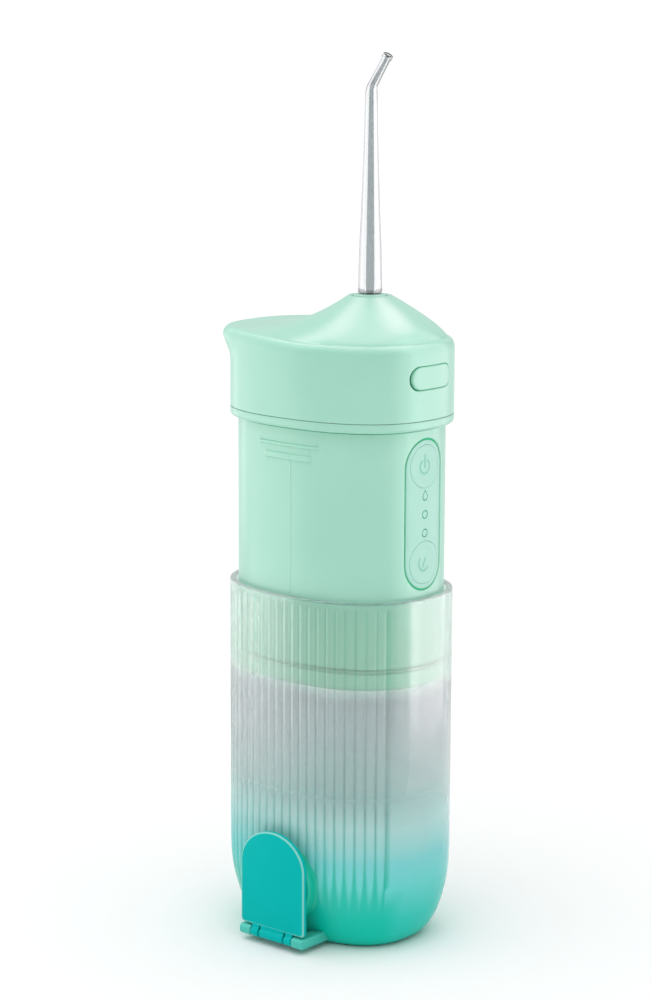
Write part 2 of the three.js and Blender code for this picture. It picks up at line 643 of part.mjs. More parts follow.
// The top of the head rises from its edge to the mound: rounded over the short front flank and
// ever more hollow towards the back.
function topRing(share) {
  const axis = new THREE.Vector3(NOZZLE_X, 0, 0);
  return headRing(HEAD_TOP, CREASE_DRAW_IN).map((edge) => {
    const out = edge.clone().setZ(0).sub(axis);
    const flank = out.length() - MOUND_RADIUS;
    const hollow = 0.66 + 0.086 * (flank - 14.5);
    const point = axis.clone().addScaledVector(out.normalize(), MOUND_RADIUS + flank * (1 - share));
    return point.setZ(HEAD_TOP + (MOUND_TOP - HEAD_TOP) * share ** hollow);
  });
}

function headOutside() {
  const side = [SEAM_Z, LIP_START, 170.5, 172.4, 174.2, CREASE_Z].map((z) => headRing(z));
  const edge = [1, 2].map((i) => {
    const turn = (Math.PI / 6) * i;
    return headRing(CREASE_Z + CREASE_RISE * Math.sin(turn), CREASE_DRAW_IN * (1 - Math.cos(turn)));
  });
  const top = [0, 0.2, 0.45, 0.7, 0.88, 1].map(topRing);
  return loft([...side, ...edge, ...top]);
}

const COVER = { halfWidth: 7.2, halfHeight: 4.7 };

function coverPrism(clearance) {
  const shape = rectangle(COVER.halfWidth + clearance, COVER.halfHeight + clearance, 2.5 + clearance);
  return prism(shape, 'yz', -40, -25, 5).translate(0, 0, PORT_Z);
}

function pillPrism(clearance) {
  const radius = 3.4 - clearance;
  return prism(rectangle(9 - clearance, radius, radius), 'yz', 25, 40, 8).translate(0, 0, LATCH_Z);
}

function headShell() {
  const hollow = ovalBlock(inset(CASE, HEAD_WALL), SEAM_Z - 1, 175.6);
  const collar = rod('z', 6.8, 172, 176, 24).translate(NOZZLE_X, 0, 0);
  const seatHole = rod('z', 5, 165, MOUND_TOP + 1, 24).translate(NOZZLE_X, 0, 0);
  const coverRecess = common(
    coverPrism(GAP), ovalWall(inset(CASE, -2), inset(CASE, 1.6), PORT_Z - 10, PORT_Z + 10));
  const mouth = prism(rectangle(4.8, 1.95, 1.9), 'yz', -36, -28, 5).translate(0, 0, PORT_Z);
  return cut(join(cut(headOutside(), hollow), collar), seatHole, pillPrism(0), coverRecess, mouth);
}

function releaseButton() {
  const wall = ovalWall(inset(CASE, -0.15), inset(CASE, 2.5), LATCH_Z - 6, LATCH_Z + 6);
  return common(wall, pillPrism(GAP));
}

// The sliding plate behind the release button. Its eye passes the tip's stem.
function tipLatch() {
  const length = 30.6 - 4.4;
  const plate = rectangle(length / 2, 4, 1.5);
  const eye = rectangle(2.95, 2, 1.9);
  const middle = (30.6 + 4.4) / 2;
  const eyeSolid = prism(eye, 'xy', LATCH_Z - 2, LATCH_Z + 2, 5).translate(NOZZLE_X + 1.1, 0, 0);
  return cut(prism(plate, 'xy', LATCH_Z - 0.75, LATCH_Z + 0.75, 3).translate(middle, 0, 0), eyeSolid);
}

function latchGuide() {
  const floor = block([-6, 28.5], [-6, 6], [164.5, 166]);
  const stop = block([-6, -3.5], [-6, 6], [165.5, 170.5]);
  const hole = rod('z', 4.4, 160, 170, 20).translate(NOZZLE_X, 0, 0);
  return cut(join(floor, stop), hole);
}

// A coil of round wire along +X, from 0 to its length.
function coilSpring(length, radius, wire, turns) {
  const stepsPerTurn = 8;
  const points = Array.from({ length: turns * stepsPerTurn + 1 }, (_, i) => {
    const angle = (2 * Math.PI * i) / stepsPerTurn;
    const x = wire + ((length - 2 * wire) * i) / (turns * stepsPerTurn);
    return new THREE.Vector3(x, radius * Math.cos(angle), radius * Math.sin(angle));
  });
  const section = new THREE.Shape().absarc(0, 0, wire, 0, 2 * Math.PI);
  const extrudePath = new THREE.CatmullRomCurve3(points);
  return new THREE.ExtrudeGeometry(section, { steps: turns * stepsPerTurn, extrudePath, curveSegments: 3 });
}

function nozzleSeat() {
  const bottom = 170.2;
  const profile = [
    [2.6, bottom], [4.65, bottom], [4.65, SEAT_TOP - 0.4], [4.25, SEAT_TOP], [2.6, SEAT_TOP], [2.6, bottom],
  ];
  return turned('z', profile, 24);
}

function portCover() {
  const wall = ovalWall(inset(CASE, 0.1), inset(CASE, 0.9), PORT_Z - 10, PORT_Z + 10);
  return common(wall, coverPrism(0));
}

add(motorUnit, 'head_trim_ring', trimRing(), MINT);
add(motorUnit, 'head_shell', headShell(), MINT);
add(motorUnit, 'release_button', releaseButton(), MINT_SOFT);
add(motorUnit, 'tip_latch', tipLatch(), WHITE);
add(motorUnit, 'latch_guide', latchGuide(), WHITE);
add(motorUnit, 'latch_spring', coilSpring(7.2, 1.6, 0.3, 5), STEEL, [-3.2, 0, LATCH_Z + 1]);
add(motorUnit, 'port_cover', portCover(), SILICONE);

// ---------------------------------------------------------------- jet tip

const TIP = {
  bottom: 163, bendZ: 245, bendRadius: 5, bendAngle: THREE.MathUtils.degToRad(33), reach: 9.5,
};
// Outer radius of the tip against height, from its stem to the start of its bend.
const TIP_PROFILE = [
  [163, 1.5], [169.8, 1.5], [170.4, 2.2], [189.2, 2.2], [189.2, 3.46], [202, 3.15], [211, 2.75],
  [220, 2.42], [228, 2.12], [236, 1.95], [245, 1.75],
];

function tipRing(centre, lean, radius) {
  const across = new THREE.Vector3(Math.cos(lean), 0, -Math.sin(lean));
  return Array.from({ length: 14 }, (_, i) => {
    const angle = (2 * Math.PI * i) / 14;
    const point = centre.clone().addScaledVector(across, radius * Math.cos(angle));
    point.y += radius * Math.sin(angle);
    return point;
  });
}

// Where the tip's centre line is, and how far it leans, a given distance past the bend's start.
function bentPath(distance) {
  const { bendZ, bendRadius, bendAngle } = TIP;
  const arc = Math.min(distance, bendRadius * bendAngle);
  const lean = arc / bendRadius;
  const beyond = distance - arc;
  const x = bendRadius * (1 - Math.cos(lean)) + beyond * Math.sin(lean);
  const z = bendZ + bendRadius * Math.sin(lean) + beyond * Math.cos(lean);
  return { centre: new THREE.Vector3(x, 0, z), lean };
}

function jetTip() {
  const arc = TIP.bendRadius * TIP.bendAngle;
  const end = arc + TIP.reach;
  const bent = [
    [arc / 3, 1.6], [(2 * arc) / 3, 1.45], [arc, 1.35], [end - 1.2, 1.3], [end - 1.1, 1.5], [end, 1.5],
  ];
  const straight = TIP_PROFILE.map(([z, radius]) => tipRing(new THREE.Vector3(0, 0, z), 0, radius));
  const curved = bent.map(([distance, radius]) => {
    const { centre, lean } = bentPath(distance);
    return tipRing(centre, lean, radius);
  });
  const boreStations = [[-1, 0.6], [arc / 3, 0.6], [(2 * arc) / 3, 0.55], [arc, 0.5], [end + 0.5, 0.45]];
  const bore = [
    tipRing(new THREE.Vector3(0, 0, TIP.bottom - 1), 0, 0.9),
    tipRing(new THREE.Vector3(0, 0, 186), 0, 0.9),
    tipRing(new THREE.Vector3(0, 0, 192), 0, 1.25),
    ...boreStations.map(([distance, radius]) => {
      const { centre, lean } = bentPath(Math.max(distance, 0));
      return tipRing(centre, lean, radius);
    }),
  ];
  return cut(loft([...straight, ...curved]), loft(bore));
}

add(motorUnit, 'nozzle_seat', nozzleSeat(), MINT, [NOZZLE_X, 0, 0]);
add(motorUnit, 'nozzle_oring', new THREE.TorusGeometry(2.5, 0.55, 8, 18), RUBBER, [NOZZLE_X, 0, 169]);
add(motorUnit, 'jet_tip', jetTip(), CLEAR, [NOZZLE_X, 0, 0]);

export default flosser;
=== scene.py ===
import bisect
import math

import bmesh
import bpy
from mathutils import Matrix, Vector, geometry, kdtree


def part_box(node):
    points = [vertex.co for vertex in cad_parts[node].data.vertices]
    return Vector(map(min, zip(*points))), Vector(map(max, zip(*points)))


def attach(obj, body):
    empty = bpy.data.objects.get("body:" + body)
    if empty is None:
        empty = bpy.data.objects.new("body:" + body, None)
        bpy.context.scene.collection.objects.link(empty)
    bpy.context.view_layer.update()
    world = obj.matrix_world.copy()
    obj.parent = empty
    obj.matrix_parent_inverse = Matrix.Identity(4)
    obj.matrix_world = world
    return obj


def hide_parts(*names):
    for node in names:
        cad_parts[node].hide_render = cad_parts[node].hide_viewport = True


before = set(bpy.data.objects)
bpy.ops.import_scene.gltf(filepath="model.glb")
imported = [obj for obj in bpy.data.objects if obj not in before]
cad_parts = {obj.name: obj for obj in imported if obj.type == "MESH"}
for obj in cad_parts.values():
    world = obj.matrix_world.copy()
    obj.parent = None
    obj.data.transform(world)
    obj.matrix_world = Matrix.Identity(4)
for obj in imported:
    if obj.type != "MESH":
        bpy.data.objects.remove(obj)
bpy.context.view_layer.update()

# The visible pieces are rebuilt here as fine smooth meshes, in millimetres, around the sizes of
# the CAD nodes. +X is the narrow front with the panel, -Y the broad side with the fill flap.

# ---- sizes


def span(node):
    low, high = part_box(node)
    return low * 1000, high * 1000


def half_sizes(node):
    low, high = span(node)
    return (high.x - low.x) / 2, (high.y - low.y) / 2


def middle_of(node):
    return [(low + high) / 2 for low, high in zip(*span(node))]


def inset(outline, distance):
    return outline[0] - distance, outline[1] - distance


POWER = 2.42  # of the oval outline: 2 is an ellipse, more is squarer
CASE = half_sizes("head_trim_ring")
BODY = half_sizes("body_bottom_cap")
TANK_TOP = span("water_tank")[1].z
BARREL_BOTTOM = span("body_shell")[0].z
BARREL_TOP = span("head_trim_ring")[0].z - 0.3
CAP_BOTTOM, CAP_TOP = span("body_bottom_cap")[0].z, BARREL_BOTTOM - 1.2
SEAM_Z = span("head_shell")[0].z
MOUND_TOP = span("head_shell")[1].z
CREASE_Z = MOUND_TOP - 12.7
CREASE_START = CREASE_Z - 1.0
CREASE_RISE, CREASE_DRAW_IN = 3.3, 2.2
FRONT_DROP = 1.3  # of the head's top edge, from the lip round to the front
HEAD_TOP = CREASE_START + CREASE_RISE
LIP_START, LIP_REACH = CREASE_Z - 7.2, 3.0
MOUND_RADIUS = 6.2
HEAD_WALL = 2.3
NOZZLE_X = middle_of("nozzle_seat")[0]
BOTTOM_INSET, BOTTOM_RISE, TANK_WALL, TANK_FLOOR = 9.9, 23.0, 1.55, 2.0
PANEL_Z = middle_of("control_panel")[2]
PANEL_RADIUS = 8.0
PANEL_STRAIGHT = 13.85  # from the panel's middle to the centre of each round end
LED_PITCH = 5.35
PILL_Z = middle_of("release_button")[2]
PILL_RADIUS, PILL_STRAIGHT = 3.4, 5.6
PORT_Z = middle_of("port_cover")[2]
HINGE, KNUCKLE = Vector((0, -29.6, 3.3)), 1.5  # the flap's pin and the radius of its knuckle
BOSS_Z, BOSS_RADIUS, BOSS_FACE, FILL_RADIUS = 19.0, 12.0, -28.1, 8.5
BOSS_FILLET = 0.5
BOSS_WINDOW = 0.62  # half the angle of the tank's wall that is fitted round the boss

# ---- meshes

GROOVE = 1  # the second material of a piece: painted shade on the walls of its grooves and down the jet's bore, a painted highlight on the flap's bevel, and the teal of the tank's boss
RIM = ICON = 2  # the third, for the tank's rim and the keys' icons
GRID_ROW = 0.87  # from row to row of the points that fill a region, over their spacing
GRID_MARGIN = 0.6  # from the region's edges to those points, over their spacing


class Skin:
    """Collects faces in millimetres and turns them into one smooth object in metres."""

    def __init__(self):
        self.points = []
        self.faces = []
        self.tones = []

    def add(self, face, tone=0):
        self.faces.append(face)
        self.tones.append(tone)

    def rings(self, rings, tone=0, windows=()):
        """Quads between a row of loops of equal length, left out in windows of columns and rows."""
        first = len(self.points)
        count = len(rings[0])
        for ring in rings:
            self.points.extend(ring)
        for row in range(len(rings) - 1):
            for i in range(count):
                if any(w[0] <= i < w[1] and w[2] <= row < w[3] for w in windows):
                    continue
                a = first + row * count + i
                b = first + row * count + (i + 1) % count
                self.add((a, b, b + count, a + count), tone)

    def cap(self, ring):
        """One flat face over a loop."""
        first = len(self.points)
        self.points.extend(ring)
        self.add(tuple(range(first, first + len(ring))))

    def fill(self, surface, outer, holes, spacing, tone=0):
        """Triangles over the region of a surface's two parameters inside one loop, round others."""
        loops = [outer, *holes]
        points = [Vector(p) for loop in loops for p in loop]
        edges = []
        start = 0
        for loop in loops:
            count = len(loop)
            edges += [(start + i, start + (i + 1) % count) for i in range(count)]
            start += count
        tree = kdtree.KDTree(len(points))
        for i, p in enumerate(points):
            tree.insert((p.x, p.y, 0), i)
        tree.balance()
        for p in staggered_grid(outer, spacing):
            clear = tree.find((p.x, p.y, 0))[2] > spacing * GRID_MARGIN
            if clear and inside(p, outer) and not any(inside(p, hole) for hole in holes):
                points.append(p)
        flat, _, triangles, *_ = geometry.delaunay_2d_cdt(points, edges, [], 0, 1e-6)
        first = len(self.points)
        self.points.extend(surface(*p) for p in flat)
        for triangle in triangles:
            middle = sum((flat[k] for k in triangle), Vector((0, 0))) / 3
            if inside(middle, outer) and not any(inside(middle, hole) for hole in holes):
                self.add(tuple(first + k for k in triangle), tone)

    def build(self, name, sharp=38):
        mesh = bpy.data.meshes.new(name)
        mesh.from_pydata([Vector(p) / 1000 for p in self.points], [], self.faces)
        mesh.polygons.foreach_set("material_index", self.tones)
        work = bmesh.new()
        work.from_mesh(mesh)
        bmesh.ops.remove_doubles(work, verts=work.verts, dist=3e-6)
        bmesh.ops.dissolve_degenerate(work, edges=work.edges, dist=1e-7)
        bmesh.ops.recalc_face_normals(work, faces=work.faces)
        work.to_mesh(mesh)
        work.free()
        mesh.shade_smooth()
        mesh.set_sharp_from_angle(angle=math.radians(sharp))
        return placed(name, mesh)


def placed(name, data):
    """A new object in the scene."""
    item = bpy.data.objects.new(name, data)
    bpy.context.scene.collection.objects.link(item)
    return item


def inside(point, loop):
    """Whether a point lies in a closed loop, by counting the edges to its right."""
    found = False
    x, y = point[0], point[1]
    bx, by = loop[-1][0], loop[-1][1]
    for corner in loop:
        ax, ay = bx, by
        bx, by = corner[0], corner[1]
        if (ay > y) != (by > y) and x < (bx - ax) * (y - ay) / (by - ay) + ax:
            found = not found
    return found


def staggered_grid(loop, spacing):
    low_x, high_x = min(p[0] for p in loop), max(p[0] for p in loop)
    low_y, high_y = min(p[1] for p in loop), max(p[1] for p in loop)
    rows = int((high_y - low_y) / (spacing * GRID_ROW)) + 1
    columns = int((high_x - low_x) / spacing) + 1
    for row in range(rows):
        for column in range(columns):
            x = low_x + (column + 0.5 * (row % 2)) * spacing
            yield Vector((x, low_y + row * spacing * GRID_ROW))


def smoothstep(value, low, high):
    t = min(max((value - low) / (high - low), 0), 1)
    return t * t * (3 - 2 * t)


def steps(start, end, count):
    return [start + (end - start) * i / count for i in range(count + 1)]


def arc(count):
    """Angles from 0 to a quarter turn."""
    return steps(0, math.pi / 2, count)


def roll(radius, count):
    """A rounded edge, as pairs: how far in from one side, and from the other."""
    return [(radius * (1 - math.sin(t)), radius * (1 - math.cos(t))) for t in arc(count)]


def turns(count):
    """Angles all the way round, without the last, which is the first again."""
    return steps(0, 2 * math.pi, count)[:-1]


# ---- ovals


def oval(outline, angle, z=0):
    across = abs(math.cos(angle) / outline[0]) ** POWER
    along = abs(math.sin(angle) / outline[1]) ** POWER
    radius = (across + along) ** (-1 / POWER)
    return Vector((radius * math.cos(angle), radius * math.sin(angle), z))


def outward(outline, point):
    """The way straight out of an oval at one of its points."""
    return Vector((point.x / outline[0] ** 2, point.y / outline[1] ** 2, 0)).normalized()


def oval_depth(half_depth, half_width, offset):
    """How far out an oval is, at a sideways offset from its middle."""
    return half_depth * (1 - abs(offset / half_width) ** POWER) ** (1 / POWER)


def wall_angle(x, y):
    """A wall's angles start just past the middle of the far broad side.

    They run on through the back, the flap side and the front.
    """
    angle = math.atan2(y, x)
    return angle - 2 * math.pi if angle > math.pi / 2 else angle


EVEN_ANGLES = [math.pi / 2 - 2 * math.pi * (1 - i / 240) for i in range(240)]
ANGLE_SCALE = 30  # brings a wall's angles to about the same scale as its heights


def face_of(outline, side=1):
    """The front (1) or the back (-1) of an oval as a surface over Y and Z, seen from outside."""
    return lambda y, z: Vector((side * oval_depth(*outline, y), side * y, z))


def face_loop(outline, loop, side=1):
    """A loop on that surface, in a wall's angles and heights."""
    return [(wall_angle(side * oval_depth(*outline, y), side * y) * ANGLE_SCALE, z) for y, z in loop]


def oval_rings(outline, profile, angles=EVEN_ANGLES):
    """Rings inside an outline; the profile lists how far in each one is, and its height."""
    return [[oval(inset(outline, draw_in), a, z) for a in angles] for draw_in, z in profile]


def rounded_ends(outline, low, high, radius):
    """Rings of an oval block whose two ends are rounded over."""
    edge = roll(radius, 4)
    return oval_rings(outline, [(a, low + b) for a, b in edge] + [(b, high - a) for a, b in edge])


class Wall:
    """An upright wall given by angle and height, with windows where pieces are let into it."""

    def __init__(self, skin, surface, angles, heights):
        self.skin = skin
        self.surface = surface
        self.angles = angles
        self.heights = heights
        self.windows = []

    def at(self, u, z):
        return self.surface(u / ANGLE_SCALE, z)

    def window(self, from_angle, to_angle, low, high, hole, spacing):
        """Leaves out the cells of a range, and fills it with a finer mesh round a hole."""
        columns = [i for i, a in enumerate(self.angles) if from_angle <= a <= to_angle]
        rows = [j for j, z in enumerate(self.heights) if low <= z <= high]
        self.windows.append((columns[0], columns[-1], rows[0], rows[-1]))
        us = [self.angles[i] * ANGLE_SCALE for i in columns]
        zs = [self.heights[j] for j in rows]
        bottom = [(u, zs[0]) for u in us]
        right = [(us[-1], z) for z in zs[1:-1]]
        top = [(u, zs[-1]) for u in reversed(us)]
        left = [(us[0], z) for z in reversed(zs[1:-1])]
        self.skin.fill(self.at, bottom + right + top + left, [hole], spacing)

    def build(self):
        rings = [[self.surface(a, z) for a in self.angles] for z in self.heights]
        self.skin.rings(rings, windows=self.windows)


# ---- flat outlines


def capsule(radius, straight, upright, count=24):
    """A function from an inset to the points of an outline with two half-round ends."""

    def outline(distance=0):
        loop = []
        for end in (1, -1):
            for i in range(count + 1):
                turn = math.pi * i / count - math.pi / 2 + (0 if end > 0 else math.pi)
                along = end * straight + (radius - distance) * math.cos(turn)
                across = (radius - distance) * math.sin(turn)
                loop.append((-across, along) if upright else (along, across))
        return add_straights(loop, 1.2)

    return outline


def add_straights(loop, longest):
    """Splits each long edge of a loop."""
    split = []
    for i, a in enumerate(loop):
        b = loop[(i + 1) % len(loop)]
        pieces = max(1, round(math.dist(a, b) / longest))
        for k in range(pieces):
            split.append(tuple(p + (q - p) * k / pieces for p, q in zip(a, b)))
    return split


def circle(radius, count):
    def outline(distance=0):
        return [((radius - distance) * math.cos(t), (radius - distance) * math.sin(t)) for t in turns(count)]

    return outline


def plan(ring):
    return [(p.x, p.y) for p in ring]


def moved(outline, x, y):
    return lambda distance=0: [(a + x, b + y) for a, b in outline(distance)]


def sunk(surface, a, b, depth):
    """A point of a front or back surface, pushed straight in, as the keys move."""
    point = surface(a, b)
    point.x -= math.copysign(depth, point.x)
    return point


def rolled_edge(outline, surface, radius, side, count=4):
    """Loops that round over an edge: side 1 is the edge of a plate, -1 that of a hole."""
    return [
        [sunk(surface, a, b, depth) for a, b in outline(side * draw_in)]
        for draw_in, depth in roll(radius, count)
    ]


def plate(name, surface, outline, thickness, edge, holes=(), spacing=0.7, sharp=38, flange=None):
    """A plate that follows a surface, with rounded edges all round and at its holes.

    A flange (its depth and its width) closes the groove round the plate.
    """
    skin = Skin()
    skin.fill(surface, outline(edge), [hole(-edge) for hole in holes], spacing)

    def loop_at(loop, distance, depth):
        return [sunk(surface, a, b, depth) for a, b in loop(distance)]

    for hole in holes:
        skin.rings([*rolled_edge(hole, surface, edge, -1), loop_at(hole, 0, thickness)])
    rim = rolled_edge(outline, surface, edge, 1)
    foot = 0
    if flange:
        depth, foot = flange[0], -flange[1]
        rim += [loop_at(outline, 0, depth)]
        # the groove's floor takes the second material, painted shade
        skin.rings([rim[-1], loop_at(outline, foot, depth)], GROOVE)
        skin.rings([loop_at(outline, foot, depth), loop_at(outline, foot, thickness)])
        skin.rings(rim)
    else:
        skin.rings([*rim, loop_at(outline, 0, thickness)])
    skin.fill(lambda a, b: sunk(surface, a, b, thickness), outline(foot), [hole() for hole in holes], 1.2)
    return skin.build(name, sharp)


def lathe(profile, x, angles):
    """The rings of a body of revolution about an upright axis; the profile lists (radius, z)."""
    return [[Vector((x + r * math.cos(a), r * math.sin(a), z)) for a in angles] for r, z in profile]


# ---- materials


def colour(code):
    """A linear colour from its usual hexadecimal form."""
    values = [int(code[i:i + 2], 16) / 255 for i in (0, 2, 4)]
    return (*[v / 12.92 if v <= 0.04045 else ((v + 0.055) / 1.055) ** 2.4 for v in values], 1)


class Paint:
    """A Principled material and the few procedural nodes that it is made of."""

    def __init__(self, name, **sockets):
        self.material = bpy.data.materials.new(name)
        self.material.use_nodes = True
        self.tree = self.material.node_tree
        self.shader = self.tree.nodes["Principled BSDF"]
        self.where = self.tree.nodes.new("ShaderNodeTexCoord").outputs["Object"]
        for socket, value in sockets.items():
            self.shader.inputs[socket.replace("_", " ")].default_value = value

    def node(self, kind, values=(), **settings):
        node = self.tree.nodes.new(kind)
        for key, value in settings.items():
            setattr(node, key, value)
        for key, value in dict(values).items():
            if hasattr(value, "is_linked"):
                self.tree.links.new(value, node.inputs[key])
            else:
                node.inputs[key].default_value = value
        return node

    def link(self, output, socket):
        self.tree.links.new(output, self.shader.inputs[socket])

    def stretched(self, scale):
        mapping = self.node("ShaderNodeMapping", {"Vector": self.where, "Scale": scale})
        return mapping.outputs["Vector"]

    def noise(self, scale, detail, where=None):
        values = {"Vector": where or self.where, "Scale": scale, "Detail": detail}
        return self.node("ShaderNodeTexNoise", values).outputs["Fac"]

    def cell_edges(self, scale):
        values = {"Vector": self.where, "Scale": scale}
        return self.node("ShaderNodeTexVoronoi", values, feature="DISTANCE_TO_EDGE").outputs["Distance"]

    def to_range(self, value, low, high, from_low=0.0, from_high=1.0):
        names = ("From Min", "From Max", "To Min", "To Max")
        values = dict(zip(names, (from_low, from_high, low, high)), Value=value)
        return self.node("ShaderNodeMapRange", values).outputs["Result"]

    def ramp(self, value, stops, ease="EASE"):
        """A colour, or a plain number, that changes from stop to stop."""
        node = self.node("ShaderNodeValToRGB", {"Fac": value})
        node.color_ramp.interpolation = ease
        elements = node.color_ramp.elements
        while len(elements) < len(stops):
            elements.new(0.5)
        for element, (position, tone) in zip(elements, stops):
            element.position = position
            element.color = colour(tone) if isinstance(tone, str) else (tone, tone, tone, 1)
        return node.outputs["Color"]

    def mix(self, factor, a, b, blend="MIX"):
        sockets = {0: factor, 6: a, 7: b}  # a Mix node's own numbers for its two colours
        return self.node("ShaderNodeMix", sockets, data_type="RGBA", blend_type=blend).outputs[2]

    def arithmetic(self, a, b, operation):
        return self.node("ShaderNodeMath", {0: a, 1: b}, operation=operation).outputs[0]

    def height(self):
        """How high a point is, in metres."""
        return self.node("ShaderNodeSeparateXYZ", {"Vector": self.where}).outputs["Z"]

    def bump(self, height, strength, distance):
        values = {"Height": height, "Strength": strength, "Distance": distance}
        self.link(self.node("ShaderNodeBump", values).outputs["Normal"], "Normal")


def moulded(name, light, dark, roughness, coat=0.0, gloss=0.5):
    """Moulded plastic: a slow drift of colour, fine speckle, and an uneven skin."""
    paint = Paint(name, Coat_Weight=coat, Coat_Roughness=0.2, Specular_IOR_Level=gloss)
    drift = paint.ramp(paint.noise(28, 3), [(0.3, light), (0.7, dark)])
    speck = paint.to_range(paint.noise(2600, 1), 0.965, 1.0, 0.28, 0.42)
    paint.link(paint.mix(1.0, drift, speck, "MULTIPLY"), "Base Color")
    paint.link(paint.to_range(paint.noise(420, 3), roughness - 0.05, roughness + 0.05), "Roughness")
    paint.bump(paint.noise(900, 4), 0.05, 0.0002)
    return paint.material


def frosted_tank(name, tones, valleys):
    """Clear plastic, frosted and sprayed teal from the bottom up, with painted light and shade in its tint by
    height, and painted shade between its ribs.
    """
    paint = Paint(name, IOR=1.46, Coat_Roughness=0.14)
    uneven = paint.arithmetic(paint.to_range(paint.noise(35, 3), -0.002, 0.002), paint.height(), "ADD")
    share = paint.to_range(uneven, 0, 1, 0.0, TANK_TOP / 1000)
    crest = paint.node("ShaderNodeAttribute", attribute_name="crest").outputs["Fac"]
    # the valleys take painted shade, the crests the tank's tint
    tone = paint.mix(crest, paint.ramp(share, valleys, "LINEAR"), paint.ramp(share, tones, "LINEAR"))
    paint.link(tone, "Base Color")
    gloss = paint.ramp(share, TANK_GLOSS, "LINEAR")
    paint.link(paint.ramp(share, TANK_CLEARNESS, "LINEAR"), "Transmission Weight")
    paint.link(paint.ramp(share, TANK_COVER, "LINEAR"), "Alpha")
    paint.link(gloss, "Coat Weight")
    paint.link(paint.arithmetic(gloss, 0.5, "MULTIPLY"), "Specular IOR Level")
    paint.link(paint.to_range(paint.noise(1500, 2), 0.16, 0.22), "Roughness")
    paint.bump(paint.noise(2200, 3), 0.08, 0.0002)
    return paint.material


def clear_plastic(name, centre, edge, roughness=0.03, cover=1.0):
    """Clear moulded plastic with faint flow lines, and painted shade where it is seen edge on."""
    paint = Paint(name, IOR=1.49, Transmission_Weight=1.0, Alpha=cover)
    flow = paint.noise(90, 3, paint.stretched((3, 3, 0.15)))
    facing = paint.node("ShaderNodeLayerWeight", {"Blend": 0.5}).outputs["Facing"]
    # painted shade: the edge colour, towards the outline, stands in for the dark edges that clear plastic
    # shows
    tone = paint.ramp(facing, [(0.0, centre), (0.3, centre), (0.55, edge), (1.0, edge)])
    paint.link(paint.mix(paint.to_range(flow, 0.0, 0.15), tone, colour(edge)), "Base Color")
    paint.link(paint.to_range(flow, roughness * 0.6, roughness * 1.4), "Roughness")
    paint.bump(flow, 0.03, 0.0001)
    return paint.material


def metal(name, tone, roughness, stretch):
    """Machined or drawn metal with fine lines along one way."""
    paint = Paint(name, Metallic=1.0)
    lines = paint.noise(500, 4, paint.stretched(stretch))
    paint.link(paint.mix(lines, colour(tone), [c * 0.8 for c in colour(tone)[:3]] + [1]), "Base Color")
    paint.link(paint.to_range(lines, roughness - 0.06, roughness + 0.1), "Roughness")
    paint.bump(lines, 0.05, 0.0001)
    return paint.material


def soft_rubber(name, tone, worn, roughness):
    """Rubber or silicone with a dusty bloom and a fine matt skin."""
    paint = Paint(name, Sheen_Weight=0.15, Sheen_Roughness=0.4)
    bloom = paint.noise(180, 5)
    paint.link(paint.ramp(bloom, [(0.35, tone), (0.75, worn)]), "Base Color")
    paint.link(paint.to_range(bloom, roughness - 0.06, roughness + 0.08), "Roughness")
    paint.bump(paint.noise(1800, 3), 0.12, 0.0002)
    return paint.material


def circuit_board():
    """Green lacquer over copper tracks."""
    paint = Paint("circuit_lacquer", Roughness=0.35, Coat_Weight=0.5, Coat_Roughness=0.2)
    tracks = paint.to_range(paint.cell_edges(420), 1, 0, 0.05, 0.08)
    paint.link(paint.mix(tracks, colour("17603b"), colour("2f8a57")), "Base Color")
    paint.bump(tracks, 0.3, 0.0001)
    return paint.material


def lens(name, tone, cloudy):
    """A milky light pipe."""
    paint = Paint(name, Roughness=0.4, Specular_IOR_Level=0.35)
    cloud = paint.noise(700, 3)
    paint.link(paint.ramp(cloud, [(0.3, tone), (0.7, cloudy)]), "Base Color")
    paint.bump(cloud, 0.03, 0.0001)
    return paint.material


# The tank's tint on its ribs and the painted shade between them, its clearness, cover and gloss, from its
# bottom (0) to its rim (1). Over the teal spray the tint also paints light and shade: a darker grey band over
# the empty inside, and paler mint above it, where the body stands behind the wall.
TANK_TONES = [
    (0.0, "00ceb8"), (0.1, "34d4c6"), (0.17, "62ded6"), (0.26, "8aeaea"), (0.36, "d8fffc"),
    (0.48, "dfefee"), (0.6, "d2dcdd"), (0.725, "c4ced0"), (0.77, "e8fff4"), (1.0, "e8fcf4"),
]
# painted shade: the darker tint that the tank takes down its valleys, where the crest attribute falls
TANK_VALLEY_SHADE = [
    (0.0, "00ceb8"), (0.1, "10ceb8"), (0.24, "40d0be"), (0.36, "88d0c8"), (0.48, "a4bcb8"), (0.6, "98aaa6"),
    (0.725, "90a4a0"), (0.77, "a0e0c8"), (1.0, "a0e0c8"),
]
RIM_TONES = [(0.0, "a8b8bc"), (1.0, "a8b8bc")]
TANK_CLEARNESS = [(0.0, 0.03), (0.2, 0.08), (0.45, 0.68), (1.0, 0.94)]
TANK_COVER = [(0.0, 1.0), (0.3, 0.94), (0.55, 0.78), (1.0, 0.75)]
TANK_GLOSS = [(0.0, 0.05), (0.12, 0.2), (0.4, 0.55), (1.0, 0.55)]

MINT = moulded("mint_abs", "a6dec9", "a0dac4", 0.32, coat=0.1)
MINT_SOFT = moulded("mint_keys", "a0d8c6", "98d2c0", 0.4, coat=0.05)
